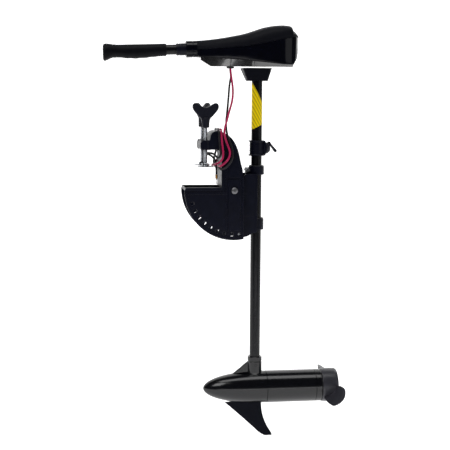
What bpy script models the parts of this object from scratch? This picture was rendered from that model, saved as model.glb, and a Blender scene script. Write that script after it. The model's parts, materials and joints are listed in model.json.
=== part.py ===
"""Transom-mount electric trolling motor, shown stowed: the clamp is swung up a quarter turn from the shaft.

Frame: origin on the clamp seat midway between the two clamp screws, +X towards the propeller,
+Y away from the tiller side shown first, +Z up the shaft. Lengths are in metres.
"""

import math

import bmesh
import bpy
from mathutils import Matrix, Vector

MM = 0.001
GAP = 0.3 * MM  # clearance left between pieces that touch
OVERLAP = 1.0 * MM  # how far joined shapes run into each other
ROUND = 32  # sides of a medium circle

# Clamp bracket
CLAMP_HALF_WIDTH = 47 * MM
PLATE_THICKNESS = 5 * MM
MOUTH_HEIGHT = 100 * MM  # seat to the underside of the arm
MOUTH_DEPTH = 42.5 * MM  # screw axis to the spine
SPINE_WALL = 6 * MM
SEAT_REACH = 54 * MM  # seat beyond the screw axis
SEAT_THICKNESS = 9 * MM
SEAT_LIP = 3 * MM  # seat wider than the side plates, each side
ARM_REACH = 14 * MM  # arm beyond the screw axis
ARM_THICKNESS = 24 * MM
ARCH_RISE = 49.5 * MM  # top of the arch over the arm's underside
SCREW_HALF_SPACING = 37 * MM
SPINE_BACK_X = 102.4 * MM
PIVOT_X = 76.6 * MM
PIVOT_Z = -8.6 * MM
QUADRANT_RADIUS = 133 * MM
RIM_WIDTH = 9.5 * MM
RIM_RISE = 1.6 * MM
SLOT_PITCH_DEG = 10
SLOT_COUNT = 9
FIRST_SLOT_DEG = 97  # below the level line that runs forward from the pivot
SLOT_RADIUS = 117.5 * MM
SLOT_LENGTH = 10 * MM
SLOT_WIDTH = 8 * MM
BAND_HALF_WIDTH = 16 * MM
BAND_RISE = 2.5 * MM

# Clamp screws
SCREW_RADIUS = 5.2 * MM
PAD_RADIUS = 22.5 * MM
PAD_HEIGHT = 55 * MM  # pad face over the seat
PAD_THICKNESS = 2.5 * MM
PAD_HUB_RADIUS = 9 * MM
PAD_HUB_HEIGHT = 9 * MM
INSERT_WALL = 3.6 * MM
KNOB_HUB_RADIUS = 10.3 * MM
KNOB_HUB_HEIGHT = 24 * MM
KNOB_BASE_Z = 158 * MM
KNOB_SPAN = 35 * MM
KNOB_THICKNESS = 11 * MM
FAR_KNOB_TURN_DEG = 52

# Shaft, swivel and collars
SHAFT_X = 143 * MM
SHAFT_RADIUS = 14.3 * MM
SHAFT_WALL = 2.4 * MM
PIVOT_BOLT_RADIUS = 5 * MM
PIVOT_HEAD_RADIUS = 9 * MM
PIVOT_HEAD_HEIGHT = 5 * MM
KNUCKLE_RADIUS = 14 * MM
WASHER_THICKNESS = 2 * MM
SWIVEL_HALF_WIDTH = 31 * MM
SWIVEL_WALL = 5 * MM
SWIVEL_TOP_Z = 34 * MM
SWIVEL_BOTTOM_Z = -122 * MM
COLLAR_WALL = 3.6 * MM
BUSH_WALL = 2.4 * MM
UPPER_COLLAR_TOP_Z = 54 * MM
LOWER_COLLAR_TOP_Z = -88 * MM
LOWER_COLLAR_HEIGHT = 30 * MM
BUSH_FLANGE = 2 * MM
TENSION_HALF = 12 * MM  # half the width of the upper collar's lug
TENSION_RADIUS = 3 * MM
LOCK_SPRING_BORE = 6.4 * MM
LOCK_PIN_RADIUS = 3.4 * MM
LOCK_PIN_TRAVEL = 7.5 * MM
LOCK_BOSS_RADIUS = 9 * MM
DEPTH_COLLAR_Z = 82 * MM
DEPTH_COLLAR_HEIGHT = 41 * MM
DEPTH_COLLAR_WALL = 4.4 * MM
DEPTH_COLLAR_FLANGE = 3.6 * MM
DEPTH_KNOB_RADIUS = 15 * MM

# Head
BRACKET_BOTTOM_Z = 281.5 * MM
BRACKET_HEIGHT = 34 * MM
HEAD_BASE_Z = 318 * MM
HEAD_WALL = 3 * MM

# Tiller handle
HANDLE_REACH = 190 * MM  # shaft axis to where the handle leaves the head
HANDLE_Z = 363 * MM
HANDLE_DROOP_DEG = 2
HANDLE_TUBE_RADIUS = 13.3 * MM
HANDLE_TUBE_WALL = 2 * MM
SLEEVE_WALL = 2.4 * MM
HANDLE_COLLAR_RADIUS = 22 * MM
GRIP_RADIUS = 16.2 * MM
GRIP_LENGTH = 165 * MM
GRIP_START = 54 * MM  # from the head end of the handle axis
SLEEVE_REACH = 27 * MM
HANDLE_INSIDE = 112 * MM  # tube length kept inside the head
HANDLE_RETRACT = 24 * MM  # how far the tube can still be pushed in
DRIVE_ROD_RADIUS = 3.5 * MM

# Motor pod
MOTOR_Z = -557.5 * MM
MOTOR_RADIUS = 44.3 * MM
MOTOR_WALL = 3 * MM
NOSE_LENGTH = 155 * MM  # curved part of the nose
NOSE_REACH = 143 * MM  # shaft axis to the nose tip
NOSE_JOINT = 174 * MM  # nose tip to the first joint
TUBE_LENGTH = 137 * MM
END_BELL_LENGTH = 17 * MM
HUB_LENGTH = 45 * MM
POD_COLLAR_RADIUS = 19.9 * MM
POD_COLLAR_TOP_Z = -470.5 * MM
FIN_DEPTH = 139 * MM  # fin tip below the motor axis
FIN_THICKNESS = 9 * MM
ROTOR_RADIUS = 32 * MM
ROTOR_LENGTH = 72 * MM
ROTOR_SHAFT_RADIUS = 5 * MM
BEARING_RADIUS = 13 * MM
BEARING_LENGTH = 9 * MM
PROP_RADIUS = 112 * MM
PIN_RADIUS = 2.4 * MM
COMMUTATOR_RADIUS = 13 * MM
SEAL_RADIUS = 10 * MM
SEAL_LENGTH = 6 * MM

# Battery leads
LEAD_RADIUS = 2.7 * MM

BLACK_PLASTIC = ("black_plastic", (0.012, 0.013, 0.016), 0.45, 0.0)
GLOSS_BLACK = ("gloss_black", (0.010, 0.011, 0.014), 0.15, 0.0)
MATTE_BLACK = ("matte_black", (0.03, 0.032, 0.036), 0.6, 0.0)
BLACK_PAINT = ("black_paint", (0.012, 0.012, 0.016), 0.25, 0.3)
BLACK_TUBE = ("black_tube", (0.010, 0.011, 0.016), 0.3, 0.4)
BRIGHT_STEEL = ("bright_steel", (0.62, 0.63, 0.64), 0.25, 1.0)
NYLON = ("nylon", (0.03, 0.03, 0.035), 0.5, 0.0)
RUBBER = ("rubber", (0.02, 0.02, 0.022), 0.65, 0.0)
COPPER = ("copper", (0.72, 0.35, 0.2), 0.35, 1.0)
IRON = ("laminated_iron", (0.25, 0.25, 0.26), 0.45, 0.9)
FERRITE = ("ferrite", (0.05, 0.05, 0.055), 0.7, 0.1)
BRASS = ("brass", (0.75, 0.55, 0.25), 0.3, 1.0)
RED_PVC = ("red_pvc", (0.42, 0.02, 0.07), 0.35, 0.0)
BLACK_PVC = ("black_pvc", (0.02, 0.02, 0.025), 0.35, 0.0)
YELLOW_SLEEVE = ("yellow_sleeve", (0.8, 0.42, 0.08), 0.4, 0.0)


# ---------------------------------------------------------------- Blender helpers


def clear_scene():
    for found in list(bpy.data.objects):
        bpy.data.objects.remove(found, do_unlink=True)


def new_collection(name):
    made = bpy.data.collections.new(name)
    bpy.context.scene.collection.children.link(made)
    return made


def material(finish):
    name, colour, roughness, metallic = finish
    made = bpy.data.materials.get(name)
    if made is None:
        made = bpy.data.materials.new(name)
        made.use_nodes = True
        shader = made.node_tree.nodes["Principled BSDF"]
        shader.inputs["Base Color"].default_value = (*colour, 1)
        shader.inputs["Roughness"].default_value = roughness
        shader.inputs["Metallic"].default_value = metallic
    return made


def put(name, mesh, finish, origin=(0, 0, 0), matrix=None):
    """A part from a mesh in world space, with its own origin at the given point."""
    if matrix is not None:
        mesh.transform(matrix)
    mesh.transform(Matrix.Translation(-Vector(origin)))
    mesh.name = name
    made = bpy.data.objects.new(name, mesh)
    made.location = origin
    mesh.materials.append(material(finish))
    mesh.shade_smooth()
    mesh.set_sharp_from_angle(angle=math.radians(35))
    PARTS.objects.link(made)
    return made


def tool(mesh):
    """A hidden shape that a Boolean joins to a part or cuts from it."""
    made = bpy.data.objects.new("shape", mesh)
    CUTTERS.objects.link(made)
    made.hide_render = True
    made.display_type = "WIRE"
    return made


def boolean(part, mesh, operation):
    step = part.modifiers.new(operation.lower(), "BOOLEAN")
    step.operation = operation
    step.solver = "EXACT"
    step.object = tool(mesh)


def join(part, *meshes):
    for mesh in meshes:
        boolean(part, mesh, "UNION")


def cut(part, *meshes):
    for mesh in meshes:
        boolean(part, mesh, "DIFFERENCE")


def bevel(part, width, angle_deg=40, segments=1):
    step = part.modifiers.new("bevel", "BEVEL")
    step.width = width
    step.segments = segments
    step.limit_method = "ANGLE"
    step.angle_limit = math.radians(angle_deg)


def attach(parent, *children):
    """Parents pieces that move together, leaving them where they are."""
    for child in children:
        child.parent = parent
        child.matrix_parent_inverse = Matrix.Translation(-Vector(parent.location))


def to_mesh(bm):
    made = bpy.data.meshes.new("mesh")
    bmesh.ops.recalc_face_normals(bm, faces=bm.faces[:])
    bm.to_mesh(made)
    bm.free()
    return made


def turn_to(axis):
    """The rotation that takes +Z to an axis."""
    return Vector((0, 0, 1)).rotation_difference(Vector(axis).normalized()).to_matrix().to_4x4()


def rod(start, end, radius, end_radius=None, sides=ROUND):
    """A solid cylinder or cone between two points."""
    a, b = Vector(start), Vector(end)
    bm = bmesh.new()
    bmesh.ops.create_cone(
        bm,
        cap_ends=True,
        segments=sides,
        radius1=radius,
        radius2=radius if end_radius is None else end_radius,
        depth=(b - a).length,
        matrix=Matrix.Translation((a + b) / 2) @ turn_to(b - a),
    )
    return to_mesh(bm)


def block(low, high):
    """A box between two corners."""
    a, b = Vector(low), Vector(high)
    bm = bmesh.new()
    bmesh.ops.create_cube(bm, size=1, matrix=Matrix.Translation((a + b) / 2) @ Matrix.Diagonal((*(b - a), 1)))
    return to_mesh(bm)


def curve_mesh(curve, matrix=None):
    """The mesh of a curve, with its caps welded on."""
    holder = bpy.data.objects.new("curve", curve)
    CUTTERS.objects.link(holder)
    bpy.context.view_layer.update()
    made = bpy.data.meshes.new_from_object(holder.evaluated_get(bpy.context.evaluated_depsgraph_get()))
    bpy.data.objects.remove(holder)
    bm = bmesh.new()
    bm.from_mesh(made)
    bmesh.ops.remove_doubles(bm, verts=bm.verts[:], dist=0.001 * MM)
    if matrix is not None:
        bmesh.ops.transform(bm, matrix=matrix, verts=bm.verts[:])
    return to_mesh(bm)


def add_loop(curve, points):
    loop = curve.splines.new("POLY")
    loop.points.add(len(points) - 1)
    for point, (x, y) in zip(loop.points, points):
        point.co = (x, y, 0, 1)
    loop.use_cyclic_u = True


UPRIGHT = Matrix.Rotation(math.radians(90), 4, "X")  # takes a drawn (x, y) to (x, 0, y)


def slab(outline, low, high, matrix=UPRIGHT, holes=()):
    """An outline in X and Z with holes, drawn out from one Y to another, or along the matrix's own axis."""
    curve = bpy.data.curves.new("outline", "CURVE")
    curve.dimensions = "2D"
    curve.fill_mode = "BOTH"
    curve.extrude = (high - low) / 2
    for points in (outline, *holes):
        add_loop(curve, points)
    middle = (low + high) / 2
    along = -middle if matrix == UPRIGHT else middle  # an upright drawing faces -Y
    return curve_mesh(curve, matrix @ Matrix.Translation((0, 0, along)))


def arc(centre, radius, start_deg, end_deg, steps):
    """Points on a circle, both ends included."""
    return [
        (
            centre[0] + radius * math.cos(math.radians(start_deg + (end_deg - start_deg) * i / steps)),
            centre[1] + radius * math.sin(math.radians(start_deg + (end_deg - start_deg) * i / steps)),
        )
        for i in range(steps + 1)
    ]


def circle(centre, radius, sides=ROUND):
    return arc(centre, radius, 0, 360 - 360 / sides, sides - 1)


def turned(profile, base=(0, 0, 0), axis=(0, 0, 1), sides=ROUND):
    """A profile of (radius, height) points turned about an axis through the base by a Screw modifier."""
    bm = bmesh.new()
    verts = [bm.verts.new((radius, 0, height)) for radius, height in profile]
    for one, other in zip(verts, verts[1:]):
        bm.edges.new((one, other))
    if profile[0][0] > 0:
        bm.edges.new((verts[-1], verts[0]))
    made = bpy.data.meshes.new("profile")
    bm.to_mesh(made)
    bm.free()
    holder = bpy.data.objects.new("profile", made)
    CUTTERS.objects.link(holder)
    screw = holder.modifiers.new("turn", "SCREW")
    screw.steps = screw.render_steps = sides
    screw.use_merge_vertices = True
    screw.merge_threshold = 0.001 * MM
    bpy.context.view_layer.update()
    solid = bpy.data.meshes.new_from_object(holder.evaluated_get(bpy.context.evaluated_depsgraph_get()))
    bpy.data.objects.remove(holder)
    bm = bmesh.new()
    bm.from_mesh(solid)
    bmesh.ops.transform(bm, matrix=Matrix.Translation(base) @ turn_to(axis), verts=bm.verts[:])
    return to_mesh(bm)


def tube(start, end, outer, inner, sides=ROUND):
    """A straight pipe between two points."""
    along = Vector(end) - Vector(start)
    profile = [(inner, 0), (outer, 0), (outer, along.length), (inner, along.length)]
    return turned(profile, start, along, sides)


def loft(sections):
    """A solid through closed sections that have the same number of points."""
    bm = bmesh.new()
    rings = [[bm.verts.new(p) for p in section] for section in sections]
    for one, other in zip(rings, rings[1:]):
        for i in range(len(one)):
            j = (i + 1) % len(one)
            bm.faces.new((one[i], one[j], other[j], other[i]))
    bm.faces.new(rings[0])
    bm.faces.new(rings[-1])
    return to_mesh(bm)


def smooth_path(points, spacing):
    """Evenly spaced points on a smooth curve through the given ones."""
    knots = [Vector(p) * MM for p in points]
    ends = [2 * knots[0] - knots[1], *knots, 2 * knots[-1] - knots[-2]]
    fine = [knots[0]]
    for a, b, c, d in zip(ends, ends[1:], ends[2:], ends[3:]):
        for i in range(1, 13):
            t = i / 12
            bend = (c - a) * t + (2 * a - 5 * b + 4 * c - d) * t**2 + (3 * b - a - 3 * c + d) * t**3
            fine.append(b + bend / 2)
    run = [0]
    for one, other in zip(fine, fine[1:]):
        run.append(run[-1] + (other - one).length)
    count = round(run[-1] / spacing)
    picked, k = [], 0
    for i in range(count + 1):
        wanted = run[-1] * i / count
        while k < len(run) - 2 and run[k + 1] < wanted:
            k += 1
        share = (wanted - run[k]) / (run[k + 1] - run[k])
        picked.append(fine[k].lerp(fine[k + 1], min(max(share, 0), 1)))
    return picked


def wire(points, radius):
    """A solid round wire along points."""
    curve = bpy.data.curves.new("wire", "CURVE")
    curve.dimensions = "3D"
    curve.bevel_depth = radius
    curve.bevel_resolution = 2
    curve.use_fill_caps = True
    line = curve.splines.new("POLY")
    line.points.add(len(points) - 1)
    for point, place in zip(line.points, points):
        point.co = (*place, 1)
    return curve_mesh(curve)


def inset(outline, distance):
    """The same outline drawn in by a small distance."""
    points = [Vector(p) for p in outline]
    turning = sum(a.x * b.y - b.x * a.y for a, b in zip(points, points[1:] + points[:1]))
    inwards = 1 if turning > 0 else -1
    moved = []
    for before, here, after in zip(points[-1:] + points[:-1], points, points[1:] + points[:1]):
        one, other = (here - before).normalized(), (after - here).normalized()
        first, second = Vector((-one.y, one.x)), Vector((-other.y, other.x))
        middle = first + second
        moved.append(tuple(here + middle * inwards * distance * 2 / max(middle.length_squared, 1.0)))
    return moved


def hex_nut(name, low, axis, height, radius, bore):
    """A plain six-sided nut with a round hole."""
    made = put(name, turned([(0, 0), (radius, 0), (radius, height), (0, height)], low, axis, 6), BRIGHT_STEEL)
    far = Vector(low) + Vector(axis) * (height + 2 * MM)
    cut(made, rod(Vector(low) - Vector(axis) * 2 * MM, far, bore, sides=24))
    return made


def joint(name, place):
    """An empty on a joint's axis, which the pieces that move with it hang on."""
    made = bpy.data.objects.new(name, None)
    made.location = place
    made.empty_display_size = 0.02
    PARTS.objects.link(made)
    return made


# ---------------------------------------------------------------- clamp bracket


ARM_Z = MOUTH_HEIGHT
ARCH_TOP_Z = ARM_Z + ARCH_RISE
PIVOT = (PIVOT_X, PIVOT_Z)
PLATE_END_DEG = -math.degrees(math.acos((SPINE_BACK_X - PIVOT_X) / QUADRANT_RADIUS))
INNER_HALF_WIDTH = CLAMP_HALF_WIDTH - PLATE_THICKNESS


def arch_back():
    """The outer edge of the arm and arch, from the arm's end over the top to the back of the spine."""
    return [
        (-ARM_REACH, ARM_Z + 3 * MM),
        (-ARM_REACH, ARM_Z + ARM_THICKNESS - 6 * MM),
        (-ARM_REACH + 5 * MM, ARM_Z + ARM_THICKNESS),
        (KNOB_HUB_RADIUS + 0.7 * MM, ARM_Z + ARM_THICKNESS),
        (KNOB_HUB_RADIUS + 2 * MM, ARCH_TOP_Z - 13 * MM),
        (19 * MM, ARCH_TOP_Z - 3.5 * MM),
        (25 * MM, ARCH_TOP_Z - 0.6 * MM),
        (33 * MM, ARCH_TOP_Z),
        (44 * MM, ARCH_TOP_Z - 3 * MM),
        (55 * MM, ARCH_TOP_Z - 8.5 * MM),
        (66 * MM, ARCH_TOP_Z - 16 * MM),
        (75 * MM, ARCH_TOP_Z - 26 * MM),
        (81 * MM, ARCH_TOP_Z - 36 * MM),
    ]


def mouth_edge():
    """The inner edge of the C, from the seat's back corner up the spine and along under the arm."""
    return [
        (MOUTH_DEPTH, 0),
        (MOUTH_DEPTH, ARM_Z - 12 * MM),
        (MOUTH_DEPTH - 3 * MM, ARM_Z - 4 * MM),
        (MOUTH_DEPTH - 9 * MM, ARM_Z),
        (-ARM_REACH + 4 * MM, ARM_Z),
    ]


def clamp_body():
    """The C-shaped casting: arm, spine and seat, and the two quadrant cheeks that the tilt lock works in."""
    core_inside = [
        (75 * MM, ARCH_TOP_Z - 40 * MM),
        (64 * MM, ARCH_TOP_Z - 24 * MM),
        (52 * MM, ARCH_TOP_Z - 15 * MM),
        (34 * MM, ARCH_TOP_Z - 9 * MM),
        (26 * MM, ARCH_TOP_Z - 14 * MM),
        (26 * MM, ARM_Z + 8 * MM),
        (MOUTH_DEPTH - 4 * MM, ARM_Z + 6 * MM),
        (MOUTH_DEPTH + SPINE_WALL, ARM_Z - 6 * MM),
        (MOUTH_DEPTH + SPINE_WALL, -SEAT_THICKNESS),
        (-SEAT_REACH, -SEAT_THICKNESS),
        (-SEAT_REACH, 0),
    ]
    core = inset(arch_back() + core_inside + mouth_edge(), 0.4 * MM)
    reach = INNER_HALF_WIDTH + OVERLAP
    body = put("clamp_body", slab(core, -reach, reach), BLACK_PLASTIC)

    back = [
        (86.5 * MM, ARCH_TOP_Z - 52 * MM),
        (93.5 * MM, ARCH_TOP_Z - 83 * MM),
        (98.5 * MM, ARCH_TOP_Z - 102 * MM),
        (SPINE_BACK_X - 1 * MM, ARCH_TOP_Z - 122 * MM),
        (SPINE_BACK_X, ARCH_TOP_Z - 150 * MM),
    ]
    rim = arc(PIVOT, QUADRANT_RADIUS, PLATE_END_DEG, -180, 26)
    front = [(PIVOT_X - QUADRANT_RADIUS, -SEAT_THICKNESS / 2), (-SEAT_REACH, -OVERLAP)]
    seat_back = [(MOUTH_DEPTH, -OVERLAP)]
    cheek = arch_back() + back + rim + front + seat_back + mouth_edge()[1:]
    slots = [slot_outline(FIRST_SLOT_DEG - SLOT_PITCH_DEG * k) for k in range(SLOT_COUNT)]
    band_low, band_top = PIVOT_Z - SLOT_RADIUS + SLOT_LENGTH, 20 * MM
    band = [
        (PIVOT_X - BAND_HALF_WIDTH, band_low),
        (PIVOT_X + BAND_HALF_WIDTH, band_low),
        (PIVOT_X + BAND_HALF_WIDTH, band_top),
        (PIVOT_X - BAND_HALF_WIDTH, band_top),
    ]
    rim_ring = arc(PIVOT, QUADRANT_RADIUS - 0.4 * MM, PLATE_END_DEG, -176, 24) + arc(
        PIVOT, QUADRANT_RADIUS - RIM_WIDTH, -176, PLATE_END_DEG, 24
    )
    lip = [
        (SPINE_BACK_X - 4 * MM, PIVOT_Z - QUADRANT_RADIUS + 8 * MM),
        (SPINE_BACK_X - 0.3 * MM, PIVOT_Z - QUADRANT_RADIUS + 8 * MM),
        (SPINE_BACK_X - 0.3 * MM, 0),
        (SPINE_BACK_X - 4 * MM, 0),
    ]
    upper_band = [
        (PIVOT_X - BAND_HALF_WIDTH + 3 * MM, 27 * MM),
        (PIVOT_X + BAND_HALF_WIDTH - 1 * MM, 27 * MM),
        (PIVOT_X + BAND_HALF_WIDTH - 6 * MM, 74 * MM),
        (PIVOT_X - 2 * MM, 78 * MM),
        (PIVOT_X - BAND_HALF_WIDTH + 3 * MM, 74 * MM),
    ]
    for side in (-1, 1):
        inside, outside = side * INNER_HALF_WIDTH, side * CLAMP_HALF_WIDTH
        sink = outside - side * OVERLAP
        rise = outside + side * RIM_RISE
        join(body, slab(cheek, *sorted((inside, outside)), holes=slots))
        join(body, slab(rim_ring, *sorted((sink, rise))))
        join(body, slab(lip, *sorted((sink - side * 0.2 * MM, rise - side * 0.2 * MM))))
        join(body, slab(band, *sorted((sink - side * 0.4 * MM, outside + side * BAND_RISE))))
        join(body, slab(upper_band, *sorted((sink - side * 0.3 * MM, outside + side * 1.5 * MM))))
    seat_half = CLAMP_HALF_WIDTH + SEAT_LIP
    seat_low = (-SEAT_REACH - 0.6 * MM, -seat_half, -SEAT_THICKNESS + 1 * MM)
    join(body, block(seat_low, (MOUTH_DEPTH - 1 * MM, seat_half, 0)))
    for side in (-1, 1):
        sink, out = side * (INNER_HALF_WIDTH - 5 * MM), side * (CLAMP_HALF_WIDTH + 5 * MM)
        cut(body, rod((PIVOT_X, sink, PIVOT_Z), (PIVOT_X, out, PIVOT_Z), PIVOT_BOLT_RADIUS + GAP))
    for y in (-SCREW_HALF_SPACING, SCREW_HALF_SPACING):
        insert = insert_radius() + GAP
        cut(body, rod((0, y, ARM_Z - 5 * MM), (0, y, ARM_Z + ARM_THICKNESS + 5 * MM), insert))
    return body


def slot_outline(angle_deg):
    """One tilt-lock slot, set along its radius from the pivot."""
    turn = math.radians(180 + angle_deg)
    along, across = (math.cos(turn), math.sin(turn)), (-math.sin(turn), math.cos(turn))
    corners = ((-1, -1), (1, -1), (1, 1), (-1, 1))
    return [
        (
            PIVOT_X + along[0] * (SLOT_RADIUS + a * SLOT_LENGTH / 2) + across[0] * b * SLOT_WIDTH / 2,
            PIVOT_Z + along[1] * (SLOT_RADIUS + a * SLOT_LENGTH / 2) + across[1] * b * SLOT_WIDTH / 2,
        )
        for a, b in corners
    ]


def insert_radius():
    return SCREW_RADIUS + INSERT_WALL


def clamp_screw(side, name, knob_turn_deg):
    """One clamp screw: its threaded insert, pad, rod and wing knob."""
    y = side * SCREW_HALF_SPACING
    insert_low, insert_high = ARM_Z + GAP, ARM_Z + ARM_THICKNESS - GAP
    bore = SCREW_RADIUS + GAP
    insert = tube((0, y, insert_low), (0, y, insert_high), insert_radius(), bore)
    put(f"threaded_insert_{name}", insert, BRASS)

    socket = SCREW_RADIUS - 1.2 * MM
    hub_top = PAD_HEIGHT + PAD_HUB_HEIGHT
    floor = PAD_HEIGHT + PAD_THICKNESS
    profile = [
        (0, floor + GAP),
        (socket + GAP, floor + GAP),
        (socket + GAP, hub_top),
        (PAD_HUB_RADIUS - 1.5 * MM, hub_top),
        (PAD_HUB_RADIUS, floor + 1 * MM),
        (PAD_RADIUS - 1.5 * MM, floor),
        (PAD_RADIUS, floor - 0.8 * MM),
        (PAD_RADIUS, PAD_HEIGHT),
        (0, PAD_HEIGHT),
    ]
    pad = put(f"clamp_pad_{name}", turned(profile, (0, y, 0)), BRIGHT_STEEL, (0, y, PAD_HEIGHT))

    end_in_knob = KNOB_BASE_Z + KNOB_HUB_HEIGHT - 3 * MM
    rod_profile = [
        (0, end_in_knob),
        (SCREW_RADIUS, end_in_knob),
        (SCREW_RADIUS, hub_top + 1 * MM),
        (socket, hub_top + GAP),
        (socket, floor + 2 * GAP),
        (0, floor + 2 * GAP),
    ]
    screw = turned(rod_profile, (0, y, 0), sides=20)
    screw = put(f"clamp_screw_{name}", screw, BRIGHT_STEEL, (0, y, PAD_HEIGHT))

    top = KNOB_BASE_Z + KNOB_HUB_HEIGHT
    hub_profile = [
        (0, end_in_knob + GAP),
        (SCREW_RADIUS + GAP, end_in_knob + GAP),
        (SCREW_RADIUS + GAP, KNOB_BASE_Z),
        (KNOB_HUB_RADIUS, KNOB_BASE_Z),
        (KNOB_HUB_RADIUS, top),
        (KNOB_HUB_RADIUS - 3 * MM, top + 3 * MM),
        (0, top + 3 * MM),
    ]
    half = [
        (0, top + 29 * MM),
        (KNOB_SPAN * 0.29, top + 32 * MM),
        (KNOB_SPAN * 0.57, top + 39 * MM),
        (KNOB_SPAN * 0.8, top + 40.5 * MM),
        (KNOB_SPAN * 0.96, top + 36 * MM),
        (KNOB_SPAN, top + 29 * MM),
        (KNOB_SPAN * 0.89, top + 20 * MM),
        (KNOB_SPAN * 0.6, top + 8 * MM),
        (KNOB_SPAN * 0.28, top + 0.5 * MM),
    ]
    wings = half + [(-x, z) for x, z in reversed(half[1:])]
    knob = put(f"wing_knob_{name}", turned(hub_profile, (0, y, 0)), MATTE_BLACK, (0, y, PAD_HEIGHT))
    turn = Matrix.Translation((0, y, 0)) @ Matrix.Rotation(math.radians(knob_turn_deg), 4, "Z")
    wing = slab(wings, -KNOB_THICKNESS / 2, KNOB_THICKNESS / 2)
    wing.transform(turn)
    join(knob, wing)
    slide = joint(f"{name}_pad_slide", (0, y, PAD_HEIGHT))
    attach(slide, pad, screw, knob)


def pivot():
    """The tilt bolt through both cheeks, with its nut."""
    outside = CLAMP_HALF_WIDTH + BAND_RISE + GAP
    nut_height = 8 * MM
    profile = [
        (0, outside + PIVOT_HEAD_HEIGHT),
        (PIVOT_HEAD_RADIUS * 0.72, outside + PIVOT_HEAD_HEIGHT),
        (PIVOT_HEAD_RADIUS, outside + PIVOT_HEAD_HEIGHT * 0.45),
        (PIVOT_HEAD_RADIUS, outside),
        (PIVOT_BOLT_RADIUS, outside),
        (PIVOT_BOLT_RADIUS, -outside - nut_height),
        (0, -outside - nut_height),
    ]
    put("pivot_bolt", turned(profile, (PIVOT_X, 0, PIVOT_Z), (0, -1, 0), 24), BRIGHT_STEEL)
    low = (PIVOT_X, outside, PIVOT_Z)
    hex_nut("pivot_nut", low, (0, 1, 0), nut_height - 2 * MM, PIVOT_HEAD_RADIUS, PIVOT_BOLT_RADIUS + GAP)


# ---------------------------------------------------------------- swivel and collars


SHAFT_BORE = SHAFT_RADIUS + GAP
BUSH_OUTER = SHAFT_BORE + BUSH_WALL
COLLAR_BORE = BUSH_OUTER + GAP
COLLAR_OUTER = COLLAR_BORE + COLLAR_WALL


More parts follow.
